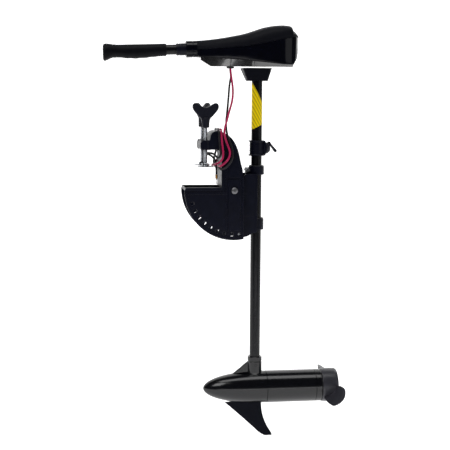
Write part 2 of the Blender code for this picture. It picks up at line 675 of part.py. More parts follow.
def swivel():
    """The bracket between the cheeks that carries the shaft in two bushes, and turns on the tilt bolt."""
    base = joint("tilt_axis", (PIVOT_X, 0, PIVOT_Z))
    edge_x = SHAFT_X - 2 * MM
    wall = [
        *arc(PIVOT, KNUCKLE_RADIUS, 262, 60, 10),
        (SPINE_BACK_X + 4 * MM, SWIVEL_TOP_Z - 3 * MM),
        (SPINE_BACK_X + 9 * MM, SWIVEL_TOP_Z),
        (edge_x, SWIVEL_TOP_Z),
        (edge_x, SWIVEL_BOTTOM_Z),
        (edge_x - 12 * MM, SWIVEL_BOTTOM_Z - 4 * MM),
        (SPINE_BACK_X + 11 * MM, SWIVEL_BOTTOM_Z - 12 * MM),
        (SPINE_BACK_X - 2 * MM, SWIVEL_BOTTOM_Z - 14.5 * MM),
        (PIVOT_X + 4 * MM, SWIVEL_BOTTOM_Z - 14.5 * MM),
    ]
    lock = lock_place()
    inner = SWIVEL_HALF_WIDTH - SWIVEL_WALL
    near = slab(wall, -SWIVEL_HALF_WIDTH, -inner)
    body = put("swivel_bracket", near, BLACK_PLASTIC, (PIVOT_X, 0, PIVOT_Z))
    join(body, slab(wall, inner, SWIVEL_HALF_WIDTH))
    web_x = SHAFT_X - SHAFT_BORE - COLLAR_WALL - BUSH_WALL - 6 * MM
    join(
        body,
        block(
            (web_x, -inner - OVERLAP, SWIVEL_BOTTOM_Z),
            (web_x + 5 * MM, inner + OVERLAP, SWIVEL_TOP_Z - 4 * MM),
        ),
        block(
            (web_x + 1 * MM, -inner - 1.2 * OVERLAP, SWIVEL_TOP_Z - 7 * MM),
            (edge_x - 0.5 * MM, inner + 1.2 * OVERLAP, SWIVEL_TOP_Z - 0.5 * MM),
        ),
        block(
            (web_x + 1 * MM, -inner - 1.2 * OVERLAP, SWIVEL_BOTTOM_Z + 0.5 * MM),
            (edge_x - 0.5 * MM, inner + 1.2 * OVERLAP, SWIVEL_BOTTOM_Z + 7 * MM),
        ),
    )
    knuckle_half = INNER_HALF_WIDTH - WASHER_THICKNESS - 2 * GAP
    near_end, far_end = (PIVOT_X, -knuckle_half, PIVOT_Z), (PIVOT_X, knuckle_half, PIVOT_Z)
    join(body, rod(near_end, far_end, KNUCKLE_RADIUS - 0.5 * MM))
    end = knuckle_half + 5 * MM
    cut(body, rod((PIVOT_X, -end, PIVOT_Z), (PIVOT_X, end, PIVOT_Z), PIVOT_BOLT_RADIUS + GAP))
    lower_low = LOWER_COLLAR_TOP_Z - LOWER_COLLAR_HEIGHT
    for low, high in ((SWIVEL_TOP_Z - 3 * MM, UPPER_COLLAR_TOP_Z), (lower_low, LOWER_COLLAR_TOP_Z)):
        join(body, rod((SHAFT_X, 0, low), (SHAFT_X, 0, high), COLLAR_OUTER))
    join(
        body,
        block((web_x + 2 * MM, -4 * MM, lower_low), (SHAFT_X, 4 * MM, LOWER_COLLAR_TOP_Z)),
        block(
            (SHAFT_X - COLLAR_OUTER - 9 * MM, -TENSION_HALF, SWIVEL_TOP_Z - 1 * MM),
            (SHAFT_X - COLLAR_BORE, TENSION_HALF, UPPER_COLLAR_TOP_Z - 4 * MM),
        ),
    )
    boss_start, boss_end = (lock[0], -inner - OVERLAP, lock[1]), (lock[0], -inner + 17 * MM, lock[1])
    join(body, rod(boss_start, boss_end, LOCK_BOSS_RADIUS, sides=24))
    cut(body, rod((SHAFT_X, 0, -0.2), (SHAFT_X, 0, 0.1), COLLAR_BORE))
    cut(
        body,
        block(
            (SHAFT_X - COLLAR_OUTER - 20 * MM, -1.2 * MM, SWIVEL_TOP_Z + 0.4 * MM),
            (SHAFT_X - SHAFT_RADIUS, 1.2 * MM, UPPER_COLLAR_TOP_Z + 5 * MM),
        ),
    )
    tension_x, tension_z = tension_place()
    cut(body, rod((tension_x, -0.03, tension_z), (tension_x, 0.03, tension_z), TENSION_RADIUS + GAP, sides=16))
    spring_floor, spring_top = (lock[0], -inner + 3 * MM, lock[1]), (lock[0], -inner + 18 * MM, lock[1])
    cut(body, rod(spring_top, spring_floor, LOCK_SPRING_BORE, sides=24))
    outside, inside = (lock[0], -SWIVEL_HALF_WIDTH - 1 * MM, lock[1]), (lock[0], -inner + 5 * MM, lock[1])
    cut(body, rod(outside, inside, LOCK_PIN_RADIUS + GAP, sides=20))
    attach(base, body, *washers(knuckle_half), *tension_screw())
    attach(base, *tilt_lock(inner))
    return base


def tension_place():
    """Where the screw that tightens the upper collar crosses, in X and Z."""
    return SHAFT_X - COLLAR_OUTER - 4.5 * MM, (SWIVEL_TOP_Z + UPPER_COLLAR_TOP_Z) / 2


def lock_place():
    """Where the tilt-lock pin sits, in X and Z."""
    turn = math.radians(180 + FIRST_SLOT_DEG)
    return PIVOT_X + SLOT_RADIUS * math.cos(turn), PIVOT_Z + SLOT_RADIUS * math.sin(turn)


def washers(knuckle_half):
    made = []
    for side, name in ((-1, "near"), (1, "far")):
        ends = sorted((side * (knuckle_half + GAP), side * (knuckle_half + GAP + WASHER_THICKNESS)))
        start, end = [(PIVOT_X, y, PIVOT_Z) for y in ends]
        ring = tube(start, end, KNUCKLE_RADIUS - 1 * MM, PIVOT_BOLT_RADIUS + GAP)
        made.append(put(f"tilt_washer_{name}", ring, NYLON, (PIVOT_X, 0, PIVOT_Z)))
    return made


def tension_screw():
    """The small hex screw and nut that set how stiffly the shaft turns."""
    x, z = tension_place()
    head = TENSION_HALF + GAP
    hexagon = turned([(0, 0), (6 * MM, 0), (6 * MM, 5 * MM), (0, 5 * MM)], (x, -head, z), (0, -1, 0), 6)
    screw = put("steering_tension_screw", hexagon, BRIGHT_STEEL)
    join(screw, rod((x, -head - 1 * MM, z), (x, head + 6.5 * MM, z), TENSION_RADIUS, sides=16))
    bore = TENSION_RADIUS + GAP
    return [screw, hex_nut("steering_tension_nut", (x, head, z), (0, 1, 0), 5 * MM, 6 * MM, bore)]


def tilt_lock(inner):
    """The plunger that drops into a slot of the near cheek, with its spring and pull knob."""
    x, z = lock_place()
    tip = -INNER_HALF_WIDTH + 1 * MM
    knob_start = -inner + 17 * MM + GAP
    pin_profile = [
        (0, knob_start + 8 * MM),
        (LOCK_PIN_RADIUS, knob_start + 8 * MM),
        (LOCK_PIN_RADIUS, tip + 1 * MM),
        (LOCK_PIN_RADIUS - 0.8 * MM, tip),
        (0, tip),
    ]
    slide = joint("tilt_lock_axis", (x, tip, z))
    pin = put("tilt_lock_pin", turned(pin_profile, (x, 0, z), (0, 1, 0), 20), BRIGHT_STEEL, (x, tip, z))
    knob_profile = [
        (LOCK_PIN_RADIUS + GAP, knob_start + LOCK_PIN_TRAVEL),
        (9 * MM, knob_start + LOCK_PIN_TRAVEL),
        (9 * MM, knob_start + LOCK_PIN_TRAVEL + 10 * MM),
        (0, knob_start + LOCK_PIN_TRAVEL + 10 * MM),
        (0, knob_start + 8 * MM + GAP),
        (LOCK_PIN_RADIUS + GAP, knob_start + 8 * MM + GAP),
    ]
    knob_profile = knob_profile[4:] + knob_profile[:4]
    knob = put("tilt_lock_knob", turned(knob_profile, (x, 0, z), (0, 1, 0), 20), MATTE_BLACK, (x, tip, z))
    coil = []
    turns, sides = 5, 10
    low, high = -inner + 5.6 * MM, knob_start - 1.2 * MM
    radius, thick = LOCK_PIN_RADIUS + 1.5 * MM, 0.55 * MM
    for i in range(turns * sides + 1):
        angle = 2 * math.pi * i / sides
        coil.append((
            x + radius * math.cos(angle),
            low + thick + (high - low - 2 * thick) * i / (turns * sides),
            z + radius * math.sin(angle),
        ))
    spring = put("tilt_lock_spring", wire(coil, thick), BRIGHT_STEEL, (x, tip, z))
    attach(slide, pin, knob)
    return [slide, spring]


def bushes():
    """The two flanged nylon bushes that the shaft turns and slides in."""
    steer = joint("steer_axis", (SHAFT_X, 0, UPPER_COLLAR_TOP_Z))
    lower_low = LOWER_COLLAR_TOP_Z - LOWER_COLLAR_HEIGHT
    for name, low, high in (
        ("upper_bush", SWIVEL_TOP_Z + 1 * MM, UPPER_COLLAR_TOP_Z + GAP),
        ("lower_bush", lower_low + 1 * MM, LOWER_COLLAR_TOP_Z + GAP),
    ):
        profile = [
            (SHAFT_BORE, high + BUSH_FLANGE),
            (COLLAR_OUTER - 1 * MM, high + BUSH_FLANGE),
            (COLLAR_OUTER - 1 * MM, high),
            (BUSH_OUTER, high),
            (BUSH_OUTER, low),
            (SHAFT_BORE, low),
        ]
        attach(steer, put(name, turned(profile, (SHAFT_X, 0, 0)), NYLON, (SHAFT_X, 0, UPPER_COLLAR_TOP_Z)))
    return steer


def depth_collar():
    """The split collar that sets how deep the motor hangs, and its wing knob."""
    slide = joint("collar_slide", (SHAFT_X, 0, DEPTH_COLLAR_Z))
    radius = SHAFT_RADIUS + DEPTH_COLLAR_WALL
    low, high = DEPTH_COLLAR_Z, DEPTH_COLLAR_Z + DEPTH_COLLAR_HEIGHT
    flange = 3 * MM
    profile = [
        (SHAFT_BORE, high),
        (radius + DEPTH_COLLAR_FLANGE, high),
        (radius + DEPTH_COLLAR_FLANGE, high - flange),
        (radius, high - flange - 1 * MM),
        (radius, low + flange + 1 * MM),
        (radius + DEPTH_COLLAR_FLANGE, low + flange),
        (radius + DEPTH_COLLAR_FLANGE, low),
        (SHAFT_BORE, low),
    ]
    body = put("depth_collar", turned(profile, (SHAFT_X, 0, 0)), BLACK_PLASTIC, (SHAFT_X, 0, low))
    boss_x = SHAFT_X + radius + 6 * MM
    boss = [
        (SHAFT_X + SHAFT_RADIUS + 2 * MM, low + 1 * MM),
        (boss_x - 3 * MM, low + 1 * MM),
        (boss_x, low + 6 * MM),
        (boss_x, high - 6 * MM),
        (boss_x - 3 * MM, high - 1 * MM),
        (SHAFT_X + SHAFT_RADIUS + 2 * MM, high - 1 * MM),
    ]
    join(body, slab(boss, -11 * MM, 11 * MM))
    middle = (low + high) / 2
    thread = 3 * MM
    cut(body, rod((SHAFT_X + 3 * MM, 0, middle), (boss_x + 5 * MM, 0, middle), thread + GAP, sides=16))
    cut(body, rod((SHAFT_X, 0, low - 5 * MM), (SHAFT_X, 0, high + 5 * MM), SHAFT_BORE))
    turn = joint("collar_knob_axis", (boss_x, 0, middle))
    face = boss_x + GAP
    hub_profile = [
        (0, face),
        (DEPTH_KNOB_RADIUS, face),
        (DEPTH_KNOB_RADIUS, face + 6 * MM),
        (DEPTH_KNOB_RADIUS * 0.72, face + 11 * MM),
        (0, face + 11 * MM),
    ]
    knob = put("depth_collar_knob", turned(hub_profile, (0, 0, middle), (1, 0, 0), 16), MATTE_BLACK,
               (boss_x, 0, middle))
    corners = ((5, 17.5), (11, 17.5), (30, -6), (28, -11.5), (22, -10))
    wing = [(face + dx * MM, middle + dz * MM) for dx, dz in corners]
    join(knob, slab(wing, -6 * MM, 6 * MM))
    tip = SHAFT_X + SHAFT_RADIUS + GAP
    join(knob, rod((tip, 0, middle), (face + 9 * MM, 0, middle), thread, sides=16))
    attach(turn, knob)
    attach(slide, body, turn)
    return slide


# ---------------------------------------------------------------- shaft and head


# (distance from the shaft axis, half width, lower edge, split line, top), in millimetres
HEAD_STATIONS = [
    (-163, 23, 343, 361.5, 385.5),
    (-140, 30, 341.5, 363, 387.5),
    (-98, 43, 339, 366, 393),
    (-44, 56, 335.5, 370.5, 403.5),
    (-17, 60, 333, 374, 411.5),
    (10, 63, 330, 379.5, 420.5),
    (37, 64, 327.5, 385, 426),
    (62, 61, 325, 391, 428),
    (80, 55, 324.5, 394, 426.5),
    (92, 47, 325, 396, 414),
]
HEAD_TAIL = [(100, 36, 340, 396, 406), (107, 22, 372, 395, 400)]


def head_ring(station, low, high, inset=0, shift=0, points=13):
    """A dome-shaped section of the head: flat at the low edge, and rounded up to the high one."""
    from_shaft, half_width = station[0] * MM + shift, station[1] * MM - inset
    ring = []
    for i in range(points):
        angle = math.pi * i / (points - 1)
        across = math.copysign(abs(math.cos(angle)) ** 0.55, math.cos(angle))
        ring.append((SHAFT_X + from_shaft, half_width * across, low + (high - low) * math.sin(angle) ** 0.75))
    return ring


def band_ring(station, low, high, lower_share, inset=0, shift=0):
    """A six-sided section of the head's side wall, narrower at the bottom."""
    x = SHAFT_X + station[0] * MM + shift
    wide, narrow = station[1] * MM - inset, station[1] * MM * lower_share - inset
    middle, bulge = (low + high) / 2, (wide + narrow) / 2 + 1 * MM
    near = [(x, -narrow, low), (x, -bulge, middle), (x, -wide, high)]
    return near + [(x, -y, z) for x, y, z in reversed(near)]


def shell(outer, inner, name, finish):
    body = put(name, loft(outer), finish)
    cut(body, loft(inner))
    return body


def trimmed(stations):
    """The same stations with the two end ones moved inwards by the wall."""
    shifts = [HEAD_WALL] + [0] * (len(stations) - 2) + [-HEAD_WALL]
    return list(zip(stations, shifts))


def head():
    """The head: bracket on the shaft, base pan, gloss side body and matte cover."""
    stations = HEAD_STATIONS + HEAD_TAIL
    top, bottom = BRACKET_BOTTOM_Z + BRACKET_HEIGHT, BRACKET_BOTTOM_Z
    rings = []
    for z, front, back, half in ((bottom, -29, 27.5, 19), (top, -43, 36, 30)):
        corner = 7
        rings.append([
            (SHAFT_X + x * MM, y * MM, z)
            for x, y in (
                (front, -half + corner), (front + corner, -half), (back - corner, -half), (back, -half + corner),
                (back, half - corner), (back - corner, half), (front + corner, half), (front, half - corner),
            )
        ])
    bracket = put("head_bracket", loft(rings), BLACK_PLASTIC)
    cut(bracket, rod((SHAFT_X, 0, bottom - 5 * MM), (SHAFT_X, 0, top + 5 * MM), SHAFT_BORE))

    cover = shell(
        [head_ring(s, s[3] * MM + GAP / 2, s[4] * MM) for s in stations],
        [head_ring(s, s[3] * MM - 1 * MM, s[4] * MM - HEAD_WALL, HEAD_WALL, shift) for s, shift in trimmed(stations)],
        "head_cover",
        MATTE_BLACK,
    )
    sides = shell(
        [band_ring(s, s[2] * MM, s[3] * MM - GAP / 2, 0.93) for s in stations],
        [band_ring(s, s[2] * MM - 1 * MM, s[3] * MM + 1 * MM, 0.93, HEAD_WALL, shift) for s, shift in trimmed(stations)],
        "head_side_body",
        GLOSS_BLACK,
    )
    cut(cover, handle_rod(-60 * MM, 40 * MM, HANDLE_COLLAR_RADIUS + GAP))
    join(sides, handle_rod(-31 * MM, 2 * MM, HANDLE_COLLAR_RADIUS))
    cut(sides, handle_rod(-60 * MM, 40 * MM, SLEEVE_RADIUS_OUTSIDE + GAP))

    floor = HEAD_BASE_Z
    pan_stations = [(-155, 26, 334.8), (-128, 34, 318), (-98, 39, 318), (-44, 50, 318), (10, 55, 318), (62, 53, 318),
                    (90, 40, 318)]

    def edge(x):
        """The side body's lower edge above a point, by straight runs between its stations."""
        for one, other in zip(HEAD_STATIONS, HEAD_STATIONS[1:]):
            if one[0] <= x <= other[0]:
                return one[2] + (other[2] - one[2]) * (x - one[0]) / (other[0] - one[0])
        return HEAD_STATIONS[-1][2]

    def pan_ring(station, inset, shift, lift):
        x, half, low = station
        high = edge(x) * MM - GAP + (lift and 5 * MM)
        low_z = floor + (low - 318) * MM + lift
        x_at = SHAFT_X + x * MM + shift
        wide, narrow = half * MM - inset, half * MM * 0.9 - inset
        return [(x_at, -narrow, low_z), (x_at, -wide, high), (x_at, wide, high), (x_at, narrow, low_z)]

    shifts = [HEAD_WALL] + [0] * (len(pan_stations) - 2) + [-HEAD_WALL]
    base = shell(
        [pan_ring(s, 0, 0, 0) for s in pan_stations],
        [pan_ring(s, HEAD_WALL, shift, 2.5 * MM) for s, shift in zip(pan_stations, shifts)],
        "head_base",
        BLACK_PLASTIC,
    )
    gland_x, gland_y = LEAD_EXIT[0] * MM, LEAD_EXIT[1] * MM
    gland_low, gland_high = (gland_x, gland_y, floor - 5 * MM), (gland_x, gland_y, floor + 9 * MM)
    cut(base, rod(gland_low, gland_high, GLAND_NECK + GAP, sides=24))
    bore = 2 * LEAD_RADIUS + 1.1 * MM
    gland_profile = [
        (bore, floor + 5 * MM),
        (GLAND_NECK, floor + 5 * MM),
        (GLAND_NECK, floor - GAP),
        (GLAND_NECK + 2.5 * MM, floor - GAP),
        (GLAND_NECK + 1 * MM, floor - 5 * MM),
        (bore, floor - 5 * MM),
    ]
    gland = put("lead_grommet", turned(gland_profile, (gland_x, gland_y, 0), sides=24), RUBBER)

    switch_low = SWITCH_END - SWITCH_LENGTH
    switch = put("speed_switch", handle_rod(switch_low, SWITCH_END, 15 * MM), BLACK_PLASTIC)
    foot = on_handle(SWITCH_END - SWITCH_LENGTH / 2)
    join(
        switch,
        block((foot.x - 9 * MM, -8 * MM, floor + 2.5 * MM + GAP), (foot.x + 9 * MM, 8 * MM, foot.z)),
        block((foot.x - 10 * MM, -16 * MM, floor + 2.5 * MM + GAP), (foot.x + 10 * MM, 16 * MM, floor + 6 * MM)),
    )
    cut(switch, handle_rod(switch_low - 5 * MM, SWITCH_END + 5 * MM, DRIVE_TUBE_RADIUS + GAP))
    return [bracket, cover, sides, base, gland, switch]


LEAD_EXIT = (66, -30)  # the middle of the pair in the base pan, in millimetres
GLAND_NECK = 8 * MM
SLEEVE_RADIUS_OUTSIDE = HANDLE_TUBE_RADIUS + GAP + SLEEVE_WALL
SWITCH_LENGTH = 26 * MM
SWITCH_END = -(HANDLE_INSIDE + HANDLE_RETRACT + GAP)
DRIVE_TUBE_RADIUS = DRIVE_ROD_RADIUS + GAP + 1.8 * MM
HANDLE_X = SHAFT_X - HANDLE_REACH
HANDLE_DROOP = math.radians(HANDLE_DROOP_DEG)
HANDLE_AXIS = Vector((-math.cos(HANDLE_DROOP), 0, -math.sin(HANDLE_DROOP)))


def on_handle(distance):
    """A point on the handle's axis, counted outwards from where it leaves the head."""
    return Vector((HANDLE_X, 0, HANDLE_Z)) + HANDLE_AXIS * distance


def handle_rod(low, high, radius):
    return rod(on_handle(low), on_handle(high), radius)


def tube_along_handle(low, high, outer, inner):
    return tube(on_handle(low), on_handle(high), outer, inner, 24)


def handle():
    """The tiller: a collar and sleeve on the head, a sliding tube and a grip that turns the speed switch."""
    bore = HANDLE_TUBE_RADIUS + GAP
    sleeve = tube_along_handle(-SLEEVE_INSIDE, SLEEVE_REACH, SLEEVE_RADIUS_OUTSIDE, bore)
    sleeve = put("handle_sleeve", sleeve, BLACK_PLASTIC)
    slide = joint("handle_slide_axis", on_handle(GRIP_START))
    rod_bore = HANDLE_TUBE_RADIUS - HANDLE_TUBE_WALL
    inner_tube = put(
        "handle_tube",
        tube_along_handle(-HANDLE_INSIDE, GRIP_START + 60 * MM, HANDLE_TUBE_RADIUS, rod_bore),
        BLACK_TUBE,
        on_handle(GRIP_START),
    )
    turn = joint("twist_axis", on_handle(GRIP_START))
    grip = put("twist_grip", grip_mesh(), RUBBER, on_handle(GRIP_START))
    cut(grip, handle_rod(GRIP_START - 5 * MM, GRIP_START + 61 * MM, HANDLE_TUBE_RADIUS + GAP))
    cut(grip, handle_rod(GRIP_START + 60 * MM, GRIP_START + 90 * MM, DRIVE_ROD_RADIUS + GAP))
    drive_rod = put(
        "twist_rod",
        rod(on_handle(-HANDLE_INSIDE - 30 * MM), on_handle(GRIP_START + 89 * MM), DRIVE_ROD_RADIUS, sides=12),
        BRIGHT_STEEL,
        on_handle(GRIP_START),
    )
    drive_bore = DRIVE_ROD_RADIUS + GAP
    drive_tube = put(
        "switch_drive_tube",
        tube_along_handle(SWITCH_END - SWITCH_LENGTH - 16 * MM, GRIP_START + 6 * MM, DRIVE_TUBE_RADIUS, drive_bore),
        BRASS,
        on_handle(GRIP_START),
    )
    attach(turn, grip, drive_rod)
    attach(slide, inner_tube, turn)
    return [sleeve, slide, drive_tube]


SLEEVE_INSIDE = HANDLE_INSIDE - 8 * MM


def grip_mesh():
    """The moulded grip: (distance along it, radius, how far the section's centre rises), in millimetres."""
    stations = [
        (0, 16.2, 0), (27, 16.8, -0.6), (55, 18, -1.8), (82, 18.6, -2.2), (100, 18.2, -1.8), (128, 16.9, -0.4),
        (143, 18.2, 0), (155, 21.5, -1.5), (162, 22.5, -3), (166, 18, -4),
    ]
    lift = HANDLE_AXIS.cross(Vector((0, 1, 0)))
    lift = lift if lift.z > 0 else -lift
    rings = []
    for along, radius, rise in stations:
        middle = on_handle(GRIP_START + along * MM * GRIP_LENGTH / (166 * MM)) + lift * rise * MM
        size = radius * MM * GRIP_RADIUS / (16.2 * MM)
        rings.append([
            middle + lift * size * math.sin(2 * math.pi * i / 20) + Vector((0, 1, 0)) * size * math.cos(2 * math.pi * i / 20)
            for i in range(20)
        ])
    return loft(rings)


# ---------------------------------------------------------------- motor pod


NOSE_TIP_X = SHAFT_X - NOSE_REACH
JOINT_ONE_X = NOSE_TIP_X + NOSE_JOINT
JOINT_TWO_X = JOINT_ONE_X + TUBE_LENGTH
JOINT_THREE_X = JOINT_TWO_X + END_BELL_LENGTH
HUB_END_X = JOINT_THREE_X + HUB_LENGTH


def nose_radius(distance, length, radius):
    """The nose is a quarter ellipse, from the tip to its full radius."""
    return radius * math.sqrt(max(0, 1 - (1 - distance / length) ** 2))


def on_axis(x, y=0, z=0):
    return (x, y, MOTOR_Z + z)


def pod_turned(profile, sides=40):
    """A profile of (radius, X) turned about the motor's axis."""
    return turned(profile, on_axis(0), (1, 0, 0), sides)


def motor_housing():
    """The cast nose with its shaft collar, the steel tube, and the end bell that carries the rear bearing."""
    shares = [0, 0.015, 0.05, 0.1, 0.18, 0.3, 0.45, 0.65, 1]
    outside = [
        (nose_radius(share * NOSE_LENGTH, NOSE_LENGTH, MOTOR_RADIUS), NOSE_TIP_X + share * NOSE_LENGTH)
        for share in shares
    ]
    inner = MOTOR_RADIUS - MOTOR_WALL
    cavity = NOSE_TIP_X + NOSE_LENGTH * 0.42
    lining = [
        (nose_radius(share * NOSE_LENGTH, NOSE_LENGTH, MOTOR_RADIUS) - MOTOR_WALL, NOSE_TIP_X + share * NOSE_LENGTH)
        for share in (1, 0.8, 0.65, 0.52, 0.42)
    ]
    seat, seat_low = BEARING_RADIUS + GAP, cavity + 4 * MM
    inside = [
        (inner, JOINT_ONE_X - GAP),
        *lining,
        (seat + 4 * MM, cavity),
        (seat + 4 * MM, seat_low + BEARING_LENGTH),
        (seat, seat_low + BEARING_LENGTH),
        (seat, seat_low),
        (0, seat_low),
    ]
    nose = put(
        "nose_housing", pod_turned([*outside, (MOTOR_RADIUS, JOINT_ONE_X - GAP), *inside]), BLACK_PAINT
    )
    collar_low = MOTOR_Z + inner - 2 * MM
    join(
        nose,
        rod((SHAFT_X, 0, collar_low), (SHAFT_X, 0, POD_COLLAR_TOP_Z), POD_COLLAR_RADIUS),
        slab(
            [
                (SHAFT_X - POD_COLLAR_RADIUS + 3 * MM, POD_COLLAR_TOP_Z - 13 * MM),
                (SHAFT_X - POD_COLLAR_RADIUS - 36 * MM, MOTOR_Z + MOTOR_RADIUS - 2.4 * MM),
                (SHAFT_X - POD_COLLAR_RADIUS + 3 * MM, MOTOR_Z + MOTOR_RADIUS - 2.4 * MM),
            ],
            -4 * MM,
            4 * MM,
        ),
    )
    cut(nose, rod((SHAFT_X, 0, collar_low - 5 * MM), (SHAFT_X, 0, POD_COLLAR_TOP_Z + 5 * MM), SHAFT_BORE))

    tube_low, tube_high = JOINT_ONE_X, JOINT_TWO_X - GAP
    motor_tube = put(
        "motor_tube",
        pod_turned([
            (inner, tube_low), (MOTOR_RADIUS, tube_low), (MOTOR_RADIUS, tube_high), (inner, tube_high)
        ]),
        BLACK_PAINT,
    )
    seat = BEARING_RADIUS + GAP
    bell = put(
        "end_bell",
        pod_turned([
            (seat, JOINT_TWO_X - 6 * MM),
            (seat + 4 * MM, JOINT_TWO_X - 6 * MM),
            (seat + 4 * MM, JOINT_TWO_X),
            (MOTOR_RADIUS, JOINT_TWO_X),
            (MOTOR_RADIUS, JOINT_THREE_X - 1 * MM),
            (MOTOR_RADIUS - 1.2 * MM, JOINT_THREE_X),
            (SEAL_RADIUS + GAP, JOINT_THREE_X),
            (SEAL_RADIUS + GAP, JOINT_THREE_X - SEAL_LENGTH - GAP),
            (ROTOR_SHAFT_RADIUS + 2 * GAP, JOINT_THREE_X - SEAL_LENGTH - GAP),
            (ROTOR_SHAFT_RADIUS + 2 * GAP, JOINT_TWO_X + BEARING_LENGTH - 5 * MM),
            (seat, JOINT_TWO_X + BEARING_LENGTH - 5 * MM),
        ]),
        BLACK_PAINT,
    )
    fin = put("skeg_fin", slab(fin_outline(), -FIN_THICKNESS / 2, FIN_THICKNESS / 2), BLACK_PLASTIC)
    grown = [(radius + GAP, x) for radius, x in outside[1:]]
    cut(fin, pod_turned([(0, NOSE_TIP_X - GAP), *grown, (MOTOR_RADIUS + GAP, HUB_END_X), (0, HUB_END_X)], 40))
    return nose, motor_tube, bell, fin, cavity, inner


def fin_outline():
    """The skeg, seen from the side: a straight leading edge swept back, and a hollow trailing edge."""
    tip = MOTOR_Z - FIN_DEPTH
    root = MOTOR_Z - MOTOR_RADIUS + 14 * MM
    drop = tip - root
    trailing = [
        (SHAFT_X + 19.5 * MM + 34 * MM * share**2.2, root + drop * 0.96 * share) for share in (0, 0.25, 0.4, 0.55, 0.7, 0.85, 1)
    ]
    return [(SHAFT_X - 92 * MM, root), *trailing, (SHAFT_X + 33 * MM, tip), (SHAFT_X + 23 * MM, tip + 2.5 * MM)]


def motor_works(cavity, inner):
    """Magnets, brush plate and bearings inside the pod."""
    made = []
    magnet_low = JOINT_ONE_X + 12 * MM
    magnet_high = magnet_low + ROTOR_LENGTH + 8 * MM
    for name, middle in (("upper", 90), ("lower", -90)):
        outer, inside = inner - GAP, ROTOR_RADIUS + 1.2 * MM
        outline = arc((0, 0), outer, middle - 62, middle + 62, 12) + arc((0, 0), inside, middle + 62, middle - 62, 12)
        turn = Matrix.Translation(on_axis((magnet_low + magnet_high) / 2)) @ Matrix.Rotation(math.radians(90), 4, "Y")
        turn = turn @ Matrix.Rotation(math.radians(90), 4, "Z")
        mesh = slab(outline, -(magnet_high - magnet_low) / 2, (magnet_high - magnet_low) / 2, turn)
        made.append(put(f"magnet_{name}", mesh, FERRITE))
    ring = lambda low, outer, bore, length: pod_turned(
        [(bore, low), (outer, low), (outer, low + length), (bore, low + length)], 24
    )
    shaft_bore = ROTOR_SHAFT_RADIUS + GAP
    front = cavity + 4 * MM + GAP
    made.append(put("front_bearing", ring(front, BEARING_RADIUS, shaft_bore, BEARING_LENGTH), BRIGHT_STEEL))
    rear = JOINT_TWO_X - 5 * MM - GAP
    made.append(put("rear_bearing", ring(rear, BEARING_RADIUS, shaft_bore, BEARING_LENGTH), BRIGHT_STEEL))
    seal = ring(JOINT_THREE_X - SEAL_LENGTH, SEAL_RADIUS, shaft_bore, SEAL_LENGTH - GAP)
    made.append(put("shaft_seal", seal, RUBBER))
    plate_x = magnet_high + 14 * MM
    plate = pod_turned([(COMMUTATOR_RADIUS + 6 * MM, plate_x), (inner - GAP, plate_x), (inner - GAP, plate_x + 3 * MM),
                        (COMMUTATOR_RADIUS + 6 * MM, plate_x + 3 * MM)], 32)
    made.append(put("brush_plate", plate, NYLON))
    for name, side in (("near", -1), ("far", 1)):
        low = COMMUTATOR_RADIUS + GAP
        ends = sorted((side * low, side * (low + 12 * MM)))
        brush = block(on_axis(plate_x - 9 * MM, ends[0], -3.5 * MM), on_axis(plate_x - GAP, ends[1], 3.5 * MM))
        made.append(put(f"brush_{name}", brush, FERRITE))
    return made, magnet_low, magnet_high, plate_x, front


